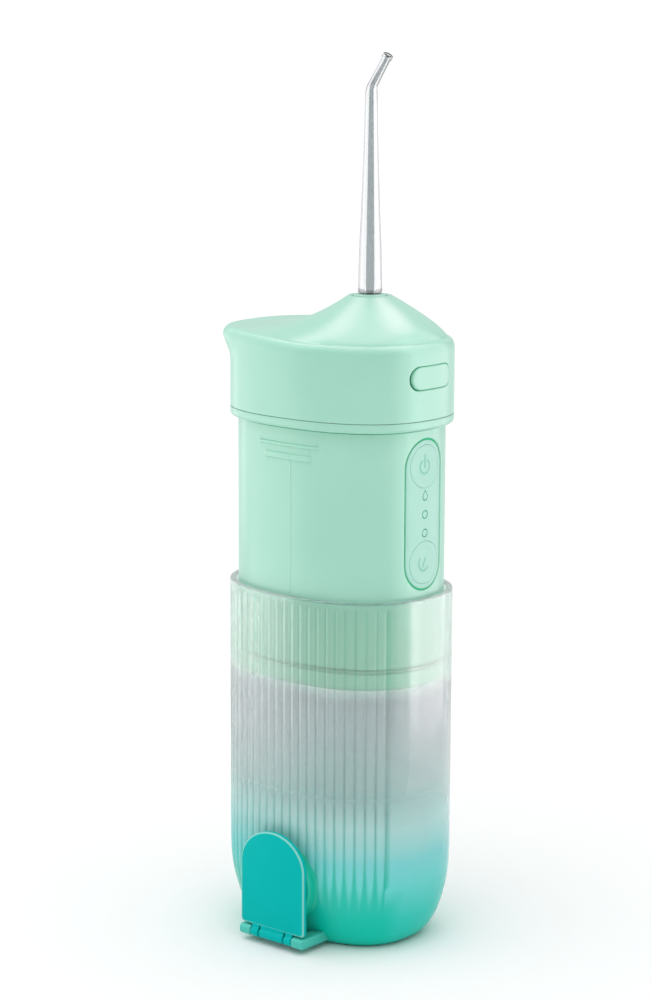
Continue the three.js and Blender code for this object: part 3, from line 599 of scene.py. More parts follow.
# painted shade: a deeper, more saturated mint that the walls of grooves and gaps take in place of their own
# mint
MINT_GROOVE_SHADE = moulded("mint_groove_shade", "46e8ac", "3ee2a6", 0.6, gloss=0.05)
ICON_MINT = moulded("mint_icon", "86ccb2", "7fc6ab", 0.4, gloss=0.4)
TEAL = moulded("teal_flap", "00beba", "00b9b5", 0.4, gloss=0.04)
FROSTED = frosted_tank("frosted_gradient", TANK_TONES, TANK_VALLEY_SHADE)
RIM_FROST = frosted_tank("frosted_rim", RIM_TONES, RIM_TONES)
# painted highlight: a paler teal on the flap's front bevel, for the light line along its edge
FLAP_BEVEL_HIGHLIGHT = moulded("teal_bevel_highlight", "86d6cc", "7ccec4", 0.4, gloss=0.3)
# the tank's teal spray, made paler on the lugs as a painted highlight
LUG_TEAL_HIGHLIGHT = moulded("lug_teal_highlight", "4fcabb", "44c4b4", 0.34, gloss=0.3)
BOSS_TEAL = moulded("boss_teal", "0cc4a8", "08bca0", 0.34, gloss=0.3)
CLEAR = clear_plastic("clear_jet_plastic", "f4f6f7", "a0a0a8")
# painted shade: grey on the bore's wall, for the dark band down the middle of the clear tip
JET_BORE_SHADE = clear_plastic("clear_jet_bore_shade", "a4acae", "a4acae")
TUBE_CLEAR = clear_plastic("clear_tube_plastic", "fafcfc", "e8eeee", 0.08, 0.4)
WHITE = moulded("natural_acetal", "eef0ec", "e4e7e2", 0.42)
SILICONE = soft_rubber("milky_silicone", "dfe6e2", "cdd7d2", 0.5)
COVER_SILICONE = soft_rubber("mint_silicone", "abdcca", "a0d4c1", 0.5)
SEAL_GREEN = soft_rubber("seal_rubber", "80bfa6", "74b39b", 0.55)
RUBBER = soft_rubber("black_nitrile", "1d2020", "33383a", 0.6)
STEEL = metal("drawn_steel", "b9bcc0", 0.3, (1, 1, 8))
BRASS = metal("cut_brass", "c9a75c", 0.28, (1, 6, 1))
CIRCUIT = circuit_board()
WRAP = moulded("cell_wrap_blue", "2f74c0", "2867ad", 0.32, coat=0.3)
LIGHT = lens("light_pipe_milk", "a2dccb", "acdfd0")

# ---- tank

RIB_PITCH, RIB_HEIGHT = 3.03, 0.46
VALLEY_DEPTH = 0.6  # of the valleys inside the case's outline, as a share of a rib's height
RIB_FADE = (6, 30)  # heights over which the ribs come out of the rounded bottom
RIB_COLUMNS, FRONT_COLUMNS = 10, 10  # of the wall's mesh: across a rib, and on each half of the front
SMOOTH_HALF_WIDTH = 14.6  # of the plain band down the narrow front
RIB_TOP = TANK_TOP - 2.0


def arc_table(outline):
    """Angles round an outline, from its front, and the distance along it to each."""
    angles = steps(0, 2 * math.pi, 1440)
    lengths = [0.0]
    for a, b in zip(angles, angles[1:]):
        lengths.append(lengths[-1] + (oval(outline, b) - oval(outline, a)).length)
    return angles, lengths


ARC_ANGLES, ARC_LENGTHS = arc_table(CASE)


def interpolate(value, xs, ys):
    high = min(max(bisect.bisect_right(xs, value), 1), len(xs) - 1)
    low = high - 1
    share = (value - xs[low]) / (xs[high] - xs[low])
    return ys[low] + (ys[high] - ys[low]) * share


SMOOTH_ANGLE = math.atan2(SMOOTH_HALF_WIDTH, oval_depth(*CASE, SMOOTH_HALF_WIDTH))
RIBS_FROM = interpolate(SMOOTH_ANGLE, ARC_ANGLES, ARC_LENGTHS)
RIBS_TO = ARC_LENGTHS[-1] - RIBS_FROM
RIB_COUNT = round((RIBS_TO - RIBS_FROM) / RIB_PITCH)


def tank_angles():
    """Columns for the tank's wall: several across each rib, fewer over the plain front."""
    lengths = steps(0, RIBS_FROM, FRONT_COLUMNS)[:-1]
    lengths += steps(RIBS_FROM, RIBS_TO, RIB_COUNT * RIB_COLUMNS)[:-1]
    lengths += steps(RIBS_TO, ARC_LENGTHS[-1], FRONT_COLUMNS)[:-1]
    angles = [interpolate(length, ARC_LENGTHS, ARC_ANGLES) for length in lengths]
    return sorted(a - 2 * math.pi if a > math.pi / 2 else a for a in angles)


def tank_outline(z, wall, floor):
    """The tank's half-sizes at a height, where its bottom is rounded in."""
    rise = BOTTOM_RISE - floor
    share = min(max((z - floor) / rise, 0), 1)
    draw_in = BOTTOM_INSET * (1 - math.sqrt(1 - (1 - share) ** 2))
    return inset(CASE, wall + draw_in)


def rib(angle, z):
    """How far the wall stands out of its valleys, as a share of a rib's height.

    The ribs are half round and sink into the rounded bottom. The front is plain, and as high.
    """
    along = interpolate(angle % (2 * math.pi), ARC_ANGLES, ARC_LENGTHS)
    bulge = 1
    if RIBS_FROM < along < RIBS_TO:
        across = ((along - RIBS_FROM) / (RIBS_TO - RIBS_FROM) * RIB_COUNT) % 1
        bulge = 1 - (2 * across - 1) ** 2
    return max(0, bulge - 1.1 * (1 - smoothstep(z, *RIB_FADE)))


def tank_outside(angle, z):
    outline = tank_outline(z, 0, 0)
    point = oval(outline, angle, z)
    height = rib(angle, z) if z < RIB_TOP else 1
    return point + outward(outline, point) * RIB_HEIGHT * (height - VALLEY_DEPTH)


def tank_inside(angle, z):
    return oval(tank_outline(z, TANK_WALL, TANK_FLOOR), angle, z)


def side_loop(outline, wall, floor):
    """A loop given in X and Z, as the wall angles and heights of the tank's flap side."""
    loop = []
    for x, z in outline:
        halves = tank_outline(z, wall, floor)
        angle = wall_angle(x, -oval_depth(halves[1], halves[0], x))
        loop.append((angle * ANGLE_SCALE, z))
    return loop


def bottom_heights(floor, count):
    rise = BOTTOM_RISE - floor
    return [floor + rise * (1 - math.cos(t)) for t in arc(count)]


def build_tank():
    skin = Skin()
    angles = tank_angles()
    wall_top = TANK_TOP - 0.5
    top = [RIB_TOP - 1.0, RIB_TOP - 0.01, RIB_TOP + 0.15, wall_top]
    outer = Wall(skin, tank_outside, angles, [*bottom_heights(0, 30), 26, 29, 33, 45, 60, 80, *top])
    inner_heights = [*bottom_heights(TANK_FLOOR, 16), 28, 34, 50, 70, 90, wall_top]
    inner = Wall(skin, tank_inside, EVEN_ANGLES, inner_heights)
    boss = moved(circle(BOSS_RADIUS, 96), 0, BOSS_Z)
    bore = moved(circle(FILL_RADIUS, 96), 0, BOSS_Z)
    flap_side = (-math.pi / 2 - BOSS_WINDOW, -math.pi / 2 + BOSS_WINDOW)
    outer.window(*flap_side, 4.5, 34, side_loop(boss(-BOSS_FILLET), 0, 0), 0.6)
    inner.window(*flap_side, 4.5, 35, side_loop(bore(), TANK_WALL, TANK_FLOOR), 1.2)
    outer.build()
    inner.build()
    skin.rings(boss_loops(boss, bore), GROOVE)
    rim = oval_rings(CASE, [(-0.18, wall_top), (-0.06, TANK_TOP - 0.15), (0.27, TANK_TOP)], angles)
    inner_rim = oval_rings(CASE, [(TANK_WALL, wall_top), (TANK_WALL - 0.35, TANK_TOP)])
    skin.rings(rim, RIM)
    skin.fill(lambda x, y: Vector((x, y, TANK_TOP)), plan(rim[-1]), [plan(inner_rim[-1])], 5, RIM)
    skin.rings(inner_rim, RIM)
    skin.cap([tank_outside(a, 0) for a in angles])
    skin.cap([tank_inside(a, TANK_FLOOR) for a in EVEN_ANGLES])
    tank = skin.build("fluted_tank", 30)
    mark_crests(tank)
    return tank


def mark_crests(tank):
    """Notes on each point of the outer wall how high on a rib it is, for the painted shade between the ribs.

    It rises to one across the plain front, and is one on the inner wall and above the ribs.
    """
    crest = tank.data.attributes.new("crest", "FLOAT", "POINT")
    for vertex, share in zip(tank.data.vertices, crest.data):
        point = vertex.co * 1000
        angle = math.atan2(point.y, point.x)
        along = interpolate(angle % (2 * math.pi), ARC_ANGLES, ARC_LENGTHS)
        front = smoothstep(max(RIBS_FROM - along, along - RIBS_TO), 0, 7)
        on_ribs = point.z < RIB_TOP and (tank_outside(angle, point.z) - point).length < 0.6
        share.value = max(front, smoothstep(rib(angle, point.z), 0, 0.6)) if on_ribs else 1


def boss_loops(boss, bore):
    """From the tank's wall out along the boss, over its face and back down the filling hole."""
    loops = []
    for distance in (-BOSS_FILLET, -0.2, 0):
        lift = Vector((0, BOSS_FILLET + distance, 0))
        wall = side_loop(boss(distance), 0, 0)
        loops.append([tank_outside(u / ANGLE_SCALE, z) - lift for u, z in wall])

    def flat(outline, distance, y):
        return [Vector((x, y, z)) for x, z in outline(distance)]

    loops += [flat(boss, a, BOSS_FACE + b) for a, b in ((0, 0.5), (0.15, 0.15), (0.5, 0))]
    loops += [flat(bore, -a, BOSS_FACE + b) for a, b in ((0.4, 0), (0.1, 0.1), (0, 0.4))]
    loops.append([tank_inside(u / ANGLE_SCALE, z) for u, z in side_loop(bore(), TANK_WALL, TANK_FLOOR)])
    return loops


def rounded_rectangle(low, high, radius, count=6):
    """A function from an inset to the points of a rectangle with round corners."""

    def outline(distance=0):
        corner = max(radius - distance, 0.01)
        loop = []
        corners = ((high[0], low[1], -1), (high[0], high[1], 0), (low[0], high[1], 1), (low[0], low[1], 2))
        for x, y, turn in corners:
            centre_x = x - radius if x == high[0] else x + radius
            centre_y = y - radius if y == high[1] else y + radius
            for t in steps(turn * math.pi / 2, (turn + 1) * math.pi / 2, count):
                loop.append((centre_x + corner * math.cos(t), centre_y + corner * math.sin(t)))
        return loop

    return outline


def extruded(skin, outline, place, low, high, edge, edge_tone=0):
    """A closed block: an outline pushed along a line, its two rims rounded over."""
    loops = [(lift, outline(draw_in)) for lift, draw_in in roll(edge, 3)]
    first = [[place(a, b, low + lift) for a, b in loop] for lift, loop in reversed(loops)]
    last = [[place(a, b, high - lift) for a, b in loop] for lift, loop in loops]
    skin.rings(first, edge_tone)
    skin.rings([first[-1], *last])
    skin.cap(first[0])
    skin.cap(last[-1])


def along_x(a, b, x):
    return Vector((x, a, b))


def along_y(a, b, y):
    return Vector((a, y, b))


LUG_SPANS = ((-11.9, -7.9), (7.9, 11.9))
LUG_ROOT_Y = -17.5  # in the tank's wall


def build_lugs():
    """The two arms that carry the flap's pin, each with a rounded nose."""
    skin = Skin()
    arm = rounded_rectangle((HINGE.y - KNUCKLE, HINGE.z - KNUCKLE), (LUG_ROOT_Y, HINGE.z + KNUCKLE), 1.1)
    for low, high in LUG_SPANS:
        extruded(skin, arm, along_x, low, high, 0.35)
    return skin.build("hinge_lugs")


# ---- fill flap

FLAP_LOW, FLAP_HIGH = span("fill_flap")
FLAP_FACE, FLAP_BACK = FLAP_LOW.y + 0.9, FLAP_LOW.y + 2.6
FLAP_HALF_WIDTH, FLAP_BOTTOM, FLAP_SHOULDER = 12, 5.4, 24
KNUCKLE_SPANS = ((-7.6, -5.05), (-4.45, 4.45), (5.05, 7.6))


def flap_outline(distance=0):
    """A rectangle with two small round corners below and an arch above."""
    half = FLAP_HALF_WIDTH - distance
    bottom = FLAP_BOTTOM + distance
    rise = FLAP_HIGH.z - distance - FLAP_SHOULDER
    arch = [(half * math.cos(t), FLAP_SHOULDER + rise * math.sin(t)) for t in steps(0, math.pi, 48)]
    corner = roll(0.9, 4)
    return arch + [(b - half, bottom + a) for a, b in corner] + [(half - a, bottom + b) for a, b in corner]


def build_flap():
    skin = Skin()
    # the front rim takes the second material, a painted highlight along the bevel
    extruded(skin, flap_outline, along_y, FLAP_FACE, FLAP_BACK, 0.42, GROOVE)
    corners = [(HINGE.y + side * KNUCKLE, HINGE.z + side * KNUCKLE) for side in (-1, 1)]
    knuckle = rounded_rectangle(*corners, 1.45)
    tab = rounded_rectangle((FLAP_FACE + 0.02, HINGE.z), (FLAP_BACK - 0.1, 6.5), 0.1, 2)
    for low, high in KNUCKLE_SPANS:
        extruded(skin, knuckle, along_x, low, high, 0.25)
        extruded(skin, tab, along_x, low, high, 0.05)
    stud = moved(circle(1.5, 24), 0, BOSS_Z)
    extruded(skin, stud, along_y, FLAP_BACK - 0.5, FLAP_BACK + 3.5, 0.2)
    return skin.build("arched_flap", 32)


# ---- barrel

BARREL_BARS = ((147.2, 0.42, 11.0), (143.8, 0.85, 8.6))  # height, half-thickness, half-length
BAR_RELIEF = 0.45
MOULD_LINE_X, MOULD_LINE_RELIEF = 1, 0.12
BARREL_WALL = 1.8
BARREL_ROWS = [95, 103, *steps(104.5, 141.5, 18)]  # heights of its mesh, below the bars
PANEL_WINDOW = (-0.36, 0.36, 104, 151.2)  # angles and heights of the mesh that is fitted round the panel


def barrel_outside(angle, z):
    point = oval(BODY, angle, z)
    relief = 0.0
    for middle, thickness, length in BARREL_BARS:
        share = 1 - smoothstep(abs(z - middle), thickness - 0.14, thickness + 0.14)
        relief += BAR_RELIEF * share * (1 - smoothstep(abs(point.x), length - 0.5, length + 0.3))
    line = 1 - smoothstep(abs(point.x - MOULD_LINE_X), 0, 0.3)
    relief += MOULD_LINE_RELIEF * line * (1 - smoothstep(z, 145, 146))
    return point + outward(BODY, point) * relief


def barrel_heights():
    heights = [BARREL_BOTTOM + 0.4, *BARREL_ROWS]
    for middle, thickness, _ in reversed(BARREL_BARS):
        for edge in (-thickness, thickness):
            heights += [middle + edge + offset for offset in (-0.15, -0.07, 0, 0.07, 0.15)]
    heights += [149, 150.5, 151, BARREL_TOP - 0.2]
    return sorted(heights)


PANEL = moved(capsule(PANEL_RADIUS, PANEL_STRAIGHT, True), 0, PANEL_Z)


def barrel_angles():
    """Even columns, with more where the bars end and at the mould line."""
    bar_ends = [side * x for side in (1, -1) for x in (8.4, 8.9, 10.7, 11.2)]
    mould_line = [MOULD_LINE_X + offset for offset in (-0.35, 0, 0.35)]
    angles = set(EVEN_ANGLES)
    for x in bar_ends + mould_line:
        y = oval_depth(BODY[1], BODY[0], x)
        angles |= {wall_angle(x, y), wall_angle(x, -y)}
    return sorted(angles)


def build_barrel():
    skin = Skin()
    angles = barrel_angles()
    heights = barrel_heights()
    outer = Wall(skin, barrel_outside, angles, heights)
    edge = 0.55
    outer.window(*PANEL_WINDOW, face_loop(BODY, PANEL(-edge)), 1.2)
    outer.build()
    groove = rolled_edge(PANEL, face_of(BODY), edge, -1, 6)
    inner_shell = inset(BODY, BARREL_WALL)
    bottom = [sunk(face_of(BODY), y, z, 2.6) for y, z in PANEL()]
    skin.rings(groove)
    # the walls of the panel's pocket take painted shade
    skin.rings([groove[-1], bottom], GROOVE)
    low_edge = ((0.1, BARREL_BOTTOM + 0.1), (0.4, BARREL_BOTTOM), (BARREL_WALL, BARREL_BOTTOM))
    top_edge = ((0.3, BARREL_TOP), (BARREL_WALL, BARREL_TOP))
    for z, rim in ((heights[0], low_edge), (heights[-1], top_edge)):
        skin.rings([[barrel_outside(a, z) for a in angles], *oval_rings(BODY, rim, angles)])
    inner = Wall(skin, lambda a, z: oval(inner_shell, a, z), angles,
                 [BARREL_BOTTOM, *BARREL_ROWS, 146, 150.5, 151, BARREL_TOP])
    inner.window(*PANEL_WINDOW, face_loop(inner_shell, [(p.y, p.z) for p in bottom]), 1.6)
    inner.build()
    return skin.build("barrel_shell", 40)


def hole_round(node, radius):
    """A circle over X and Y round the middle of an upright node."""
    x, y, _ = middle_of(node)
    return moved(circle(radius, 32), x, y)()


def build_cap():
    """A shallow tray, with holes in its floor for the pickup tube and the two screws."""
    skin = Skin()
    rings = rounded_ends(BODY, CAP_BOTTOM, CAP_TOP, 0.55)
    floor = CAP_BOTTOM + 2.0
    tray = oval_rings(BODY, [(2.4, CAP_TOP), (2.4, floor)])
    skin.rings([*rings, *tray])
    screw_radius = half_sizes("cap_screw_1")[0] + 0.3
    holes = [hole_round("tube_gland", 2.6)]
    holes += [hole_round(screw, screw_radius) for screw in ("cap_screw_1", "cap_screw_2")]
    for z, rim in ((CAP_BOTTOM, rings[0]), (floor, tray[1])):
        skin.fill(lambda x, y, z=z: Vector((x, y, z)), plan(rim), holes, 2.0)
    for hole in holes:
        skin.rings([[Vector((x, y, z)) for x, y in hole] for z in (CAP_BOTTOM, floor)])
    return skin.build("barrel_base")


def build_seal():
    skin = Skin()
    low, high = span("body_seal_ring")
    rings = rounded_ends(inset(BODY, -0.25), low.z - 0.1, high.z + 0.1, 0.35)
    inner = oval_rings(BODY, [(2.2, high.z + 0.1), (2.2, low.z - 0.1)])
    skin.rings([*rings, *inner, rings[0]])
    return skin.build("seam_seal")


# ---- control panel

PANEL_SURFACE = face_of(inset(BODY, 0.2))
KEY_RADIUS, KEY_GAP = 6.15, 0.03
DISH_DEPTH, MARK_RELIEF = 0.22, 0.16
LED_RADIUS, LED_GAP, LED_RELIEF = 0.98, 0.24, 0.03


def drop(distance=0):
    """A small drop, point up."""
    size = 1 - distance / 1.15
    loop = []
    for t in turns(32):
        point = max(0, math.sin(t))
        width = math.cos(t) * (1 - 0.55 * point)
        loop.append((width * size, (1.15 + 0.15 * point) * math.sin(t) * size))
    return loop


LEDS = {
    "led_pipe_upper": moved(drop, 0, PANEL_Z + LED_PITCH),
    "led_pipe_middle": moved(circle(LED_RADIUS, 32), 0, PANEL_Z),
    "led_pipe_lower": moved(circle(LED_RADIUS, 32), 0, PANEL_Z - LED_PITCH),
}


def grown(outline, distance):
    return lambda d=0: outline(d - distance)


def build_panel():
    key_hole = circle(KEY_RADIUS + KEY_GAP, 72)
    holes = [moved(key_hole, 0, PANEL_Z + side * PANEL_STRAIGHT) for side in (1, -1)]
    holes += [grown(outline, LED_GAP) for outline in LEDS.values()]
    outline = grown(PANEL, -0.45)
    return plate("panel_face", PANEL_SURFACE, outline, 1.9, 0.16, holes, 0.8, flange=(0.5, 0.44))


def ridge(distance):
    return 1 - smoothstep(distance, 0.05, 0.5)


def power_mark(y, z):
    """An open ring with a bar through its gap."""
    radius, end = 2.05, math.radians(40)
    ring = abs(math.hypot(y, z) - radius)
    if abs(math.atan2(y, z)) < end:
        tip = Vector((math.copysign(math.sin(end), y), math.cos(end))) * radius
        ring = math.hypot(y - tip.x, z - tip.y)
    bar = math.hypot(y, max(0, -0.2 - z, z - 3.2))
    return max(ridge(ring), ridge(bar))


def mode_mark(y, z):
    """A plain open arc round a short slanted stroke."""
    angle = math.atan2(y, -z)
    ring = abs(math.hypot(y, z) - 2.2) if -2.3 < angle < 0.9 else 9
    along = min(max((y * 0.42 + z * 0.9), -1.2), 1.4)
    stroke = math.hypot(y - along * 0.42, z - along * 0.9)
    return max(ridge(ring), ridge(stroke))


def key_surface(middle, mark):
    def surface(y, z):
        dish = DISH_DEPTH * (1 - smoothstep(math.hypot(y, z - middle), 3.2, 5.7))
        point = PANEL_SURFACE(y, z)
        point.x += MARK_RELIEF * mark(y, z - middle) - dish
        return point

    return surface


def build_key(name, side, mark):
    middle = PANEL_Z + side * PANEL_STRAIGHT
    outline = moved(circle(KEY_RADIUS, 72), 0, middle)
    key = plate(name, key_surface(middle, mark), outline, 2.2, 0.08, spacing=0.17, sharp=60)
    for face in key.data.polygons:
        centre = face.center * 1000
        if face.normal.x > 0.5 and mark(centre.y, centre.z - middle) > 0.45:
            face.material_index = ICON
    return key


def build_led(name, outline):
    def surface(y, z):
        point = PANEL_SURFACE(y, z)
        point.x += LED_RELIEF
        return point

    return plate(name + "_lens", surface, outline, 2.0, 0.2, spacing=0.3, flange=(0.45, 0.23))


# ---- head


LIP_FROM, LIP_FULL = 19, 26  # how far back of the middle the lip begins and is full


def head_ring(angle, z, draw_in=0.0):
    """A point of the head's side, which flares out to the lip at the back and drops to the front."""
    rise = min(max((z - LIP_START) / (CREASE_Z - LIP_START), 0), 1)
    flare = LIP_REACH * (rise * rise + smoothstep(rise, 0, 1)) / 2
    point = oval(CASE, angle)
    stretch = flare * smoothstep(-point.x, LIP_FROM, LIP_FULL)
    kept = 1 - draw_in / point.length
    drop = FRONT_DROP * smoothstep(point.x, -24, 10) * smoothstep(z, 171, CREASE_START)
    return Vector((point.x * kept - stretch, point.y * kept, z - drop))


def head_rings(profile):
    """Rings of the head at the heights and draw-ins of a profile."""
    return [[head_ring(a, z, draw_in) for a in EVEN_ANGLES] for z, draw_in in profile]


def head_top(angle, share):
    """The top, from the edge in to the mound: rounded in front, ever more hollow to the back."""
    axis = Vector((NOZZLE_X, 0, 0))
    edge = head_ring(angle, HEAD_TOP, CREASE_DRAW_IN)
    out = Vector((edge.x - NOZZLE_X, edge.y, 0))
    flank = out.length - MOUND_RADIUS
    hollow = 0.66 + 0.086 * (flank - 14.5)
    point = axis + out.normalized() * (MOUND_RADIUS + flank * (1 - share))
    point.z = edge.z + (MOUND_TOP - edge.z) * share ** hollow
    return point


PILL = moved(capsule(PILL_RADIUS, PILL_STRAIGHT, False, 20), 0, PILL_Z)
PILL_WINDOW = (-0.4, 0.4, 161.5, 173)  # angles and heights, as round the panel
COVER_HALF, COVER_GAP = (7.2, 4.7), 0.35
PORT_WINDOW = (-math.pi - 0.34, -math.pi + 0.34, 154.5, 168.2)
HEAD_CEILING = 174


def cover_outline(distance=0):
    low = (-COVER_HALF[0], PORT_Z - COVER_HALF[1])
    high = (COVER_HALF[0], PORT_Z + COVER_HALF[1])
    return add_straights(rounded_rectangle(low, high, 2.5)(distance), 1.2)


def build_head():
    skin = Skin()
    edge = 0.28
    low_edge = [(SEAM_Z, 0.08), (SEAM_Z + 0.03, 0.03), (SEAM_Z + 0.1, 0)]
    heights = sorted([SEAM_Z + 0.22, *steps(155.8, 172.8, 17), 173.4, 174.0, CREASE_START])
    side = Wall(skin, head_ring, EVEN_ANGLES, heights)
    side.window(*PILL_WINDOW, face_loop(CASE, PILL(-edge)), 1.0)
    side.window(*PORT_WINDOW, face_loop(CASE, cover_outline(-COVER_GAP - edge), -1), 1.0)
    side.build()
    crease = [
        (CREASE_START + CREASE_RISE * math.sin(t), CREASE_DRAW_IN * (1 - math.cos(t)))
        for t in arc(10)[:9]
    ]
    shares = [0.0, 0.012, 0.03, 0.06, *steps(0.1, 0.96, 26), 0.985, 1.0]
    top = [[head_top(a, share) for a in EVEN_ANGLES] for share in shares]
    mouth = [(5.9, MOUND_TOP + 0.04), (5.35, MOUND_TOP), (5.1, MOUND_TOP - 0.2), (5.0, MOUND_TOP - 0.6)]
    mouth = lathe([*mouth, (5.0, HEAD_CEILING)], NOZZLE_X, EVEN_ANGLES)
    ceiling, floor = oval_rings(CASE, [(HEAD_WALL, HEAD_CEILING), (HEAD_WALL, SEAM_Z)])
    skin.rings([floor, *head_rings(low_edge)])
    skin.rings([*head_rings(crease), *top, *mouth, ceiling, floor])
    for outline, surface in ((PILL, face_of(CASE)), (grown(cover_outline, COVER_GAP), face_of(CASE, -1))):
        loops = rolled_edge(outline, surface, edge, -1)
        skin.rings(loops)
        # the walls of the pill's slot and of the port cover's pocket take painted shade
        skin.rings([loops[-1], [sunk(surface, a, b, HEAD_WALL + 0.1) for a, b in outline()]], GROOVE)
    return skin.build("head_cap", 40)


def build_pill():
    """The pill fits its slot closely, but for a wider gap at the end towards the flap side."""
    surface = face_of(inset(CASE, -0.12))
    outline = moved(capsule(PILL_RADIUS - 0.14, PILL_STRAIGHT - 0.35, False, 20), 0.34, PILL_Z)
    return plate("release_pill", surface, outline, 0.75, 0.4, spacing=0.8, flange=(0.5, 0.1))


def build_trim():
    skin = Skin()
    low = span("head_trim_ring")[0].z
    top = SEAM_Z - 0.01
    profile = [(draw_in, low + lift) for draw_in, lift in roll(1.0, 6)]
    rings = oval_rings(CASE, [*profile, (0, top - 0.1), (0.03, top - 0.03), (0.08, top)])
    skin.rings([*rings, *oval_rings(BODY, [(0.6, top), (0.6, low)]), rings[0]])
    return skin.build("trim_band")


def build_cover():
    surface = face_of(inset(CASE, 0.1), -1)
    return plate("charge_port_cover", surface, cover_outline, 0.7, 0.25, spacing=1.2)


def build_collar():
    skin = Skin()
    low, high = span("nozzle_seat")
    top = ((4.65, 0.55), (4.55, 0.25), (4.25, 0.05), (3.95, 0), (2.95, 0), (2.68, 0.1), (2.6, 0.4))
    profile = [(2.6, low.z), (4.65, low.z), *((r, high.z - down) for r, down in top), (2.6, low.z)]
    skin.rings(lathe(profile, NOZZLE_X, turns(64)))
    return skin.build("jet_collar")


# ---- jet tip

JET_FOOT = span("nozzle_seat")[1].z + 0.4
BEND_Z, BEND_RADIUS, BEND_ANGLE, BEND_REACH = 245.0, 5.0, math.radians(33), 9.5
JET_PROFILE = [  # height and radius, up to the bend
    (163.0, 1.3), (163.2, 1.5), (169.8, 1.5), (170.4, 2.2), (JET_FOOT, 2.2), (JET_FOOT, 3.2),
    (JET_FOOT + 0.1, 3.4), (JET_FOOT + 0.35, 3.5), (191.0, 3.47), (196.5, 3.31), (202.0, 3.15), (206.5, 2.95),
    (211.0, 2.75), (220.0, 2.42), (228.0, 2.12), (236.0, 1.95), (241.0, 1.86), (BEND_Z, 1.75),
]


def jet_station(distance):
    """The tip's centre and lean, a distance past the start of its bend."""
    turned = min(max(distance, 0), BEND_RADIUS * BEND_ANGLE)
    lean = turned / BEND_RADIUS
    beyond = distance - turned
    x = BEND_RADIUS * (1 - math.cos(lean)) + beyond * math.sin(lean)
    z = BEND_Z + BEND_RADIUS * math.sin(lean) + beyond * math.cos(lean)
    return Vector((NOZZLE_X + x, 0, z)), lean


def jet_ring(distance, radius):
    centre, lean = jet_station(distance)
    across = Vector((math.cos(lean), 0, -math.sin(lean))) * radius
    return [centre + across * math.cos(t) + Vector((0, radius * math.sin(t), 0)) for t in turns(40)]


def build_jet():
    """A row of rings up the outside, round the bend to the rim, and another back down the bore."""
    skin = Skin()
    bend = BEND_RADIUS * BEND_ANGLE
    end = bend + BEND_REACH
    shares = steps(0, 1, 8)
    outside = [(z - BEND_Z, radius) for z, radius in JET_PROFILE]
    outside += [(bend * share, 1.75 - 0.4 * share) for share in shares[1:]]
    rim = ((1.5, 1.3), (1.35, 1.33), (1.25, 1.48), (1.1, 1.52), (0.15, 1.52), (0, 1.4), (0, 0.6))
    outside += [(end - back, radius) for back, radius in rim]
    bore = [(end, 0.6), (end - 0.2, 0.5)]
    bore += [(bend * share, 0.6 - 0.05 * share) for share in reversed(shares)]
    bore += [(z - BEND_Z, r) for z, r in ((236, 0.75), (215, 1.0), (192, 1.25), (186, 0.95), (163, 0.95))]
    skin.rings([jet_ring(*station) for station in outside])
    # the bore takes the second material, a grey painted shade
    skin.rings([jet_ring(*station) for station in [*bore, outside[0]]], GROOVE)
    return skin.build("clear_jet", 35)


# ---- assembly


def finish_piece(piece, materials, body, slot, *nodes):
    for material in materials:
        piece.data.materials.append(material)
    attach(piece, body)
    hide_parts(*nodes)


def build_tank_pieces():
    finish_piece(build_tank(), [FROSTED, BOSS_TEAL, RIM_FROST], "tank", "frosted", "water_tank")
    finish_piece(build_lugs(), [LUG_TEAL_HIGHLIGHT], "tank", "frosted", "water_tank")
    finish_piece(build_flap(), [TEAL, FLAP_BEVEL_HIGHLIGHT], "flap", "teal", "fill_flap")


def build_body_pieces():
    mint = [MINT, MINT_GROOVE_SHADE]
    finish_piece(build_barrel(), mint, "motor_unit", "mint", "body_shell")
    finish_piece(build_cap(), [MINT], "motor_unit", "mint", "body_bottom_cap")
    finish_piece(build_seal(), [SEAL_GREEN], "motor_unit", "rubber", "body_seal_ring")
    finish_piece(build_trim(), [MINT], "motor_unit", "mint", "head_trim_ring")
    finish_piece(build_head(), mint, "motor_unit", "mint", "head_shell")
    finish_piece(build_pill(), mint, "release", "mint_soft", "release_button")
    finish_piece(build_cover(), [COVER_SILICONE], "cover", "silicone", "port_cover")


def build_panel_pieces():
    soft = [MINT_SOFT, MINT_GROOVE_SHADE]
    finish_piece(build_panel(), soft, "motor_unit", "mint_soft", "control_panel")
    power = build_key("power_key_cap", 1, power_mark)
    finish_piece(power, [*soft, ICON_MINT], "power_key", "mint_soft", "power_button")
    mode = build_key("mode_key_cap", -1, mode_mark)
    finish_piece(mode, [*soft, ICON_MINT], "mode_key", "mint_soft", "mode_button")
    for node, outline in LEDS.items():
        finish_piece(build_led(node, outline), [LIGHT, MINT_GROOVE_SHADE], "motor_unit", "light_pipe", node)


def build_jet_pieces():
    finish_piece(build_collar(), [MINT], "seat", "mint", "nozzle_seat")
    finish_piece(build_jet(), [CLEAR, JET_BORE_SHADE], "tip", "clear", "jet_tip")


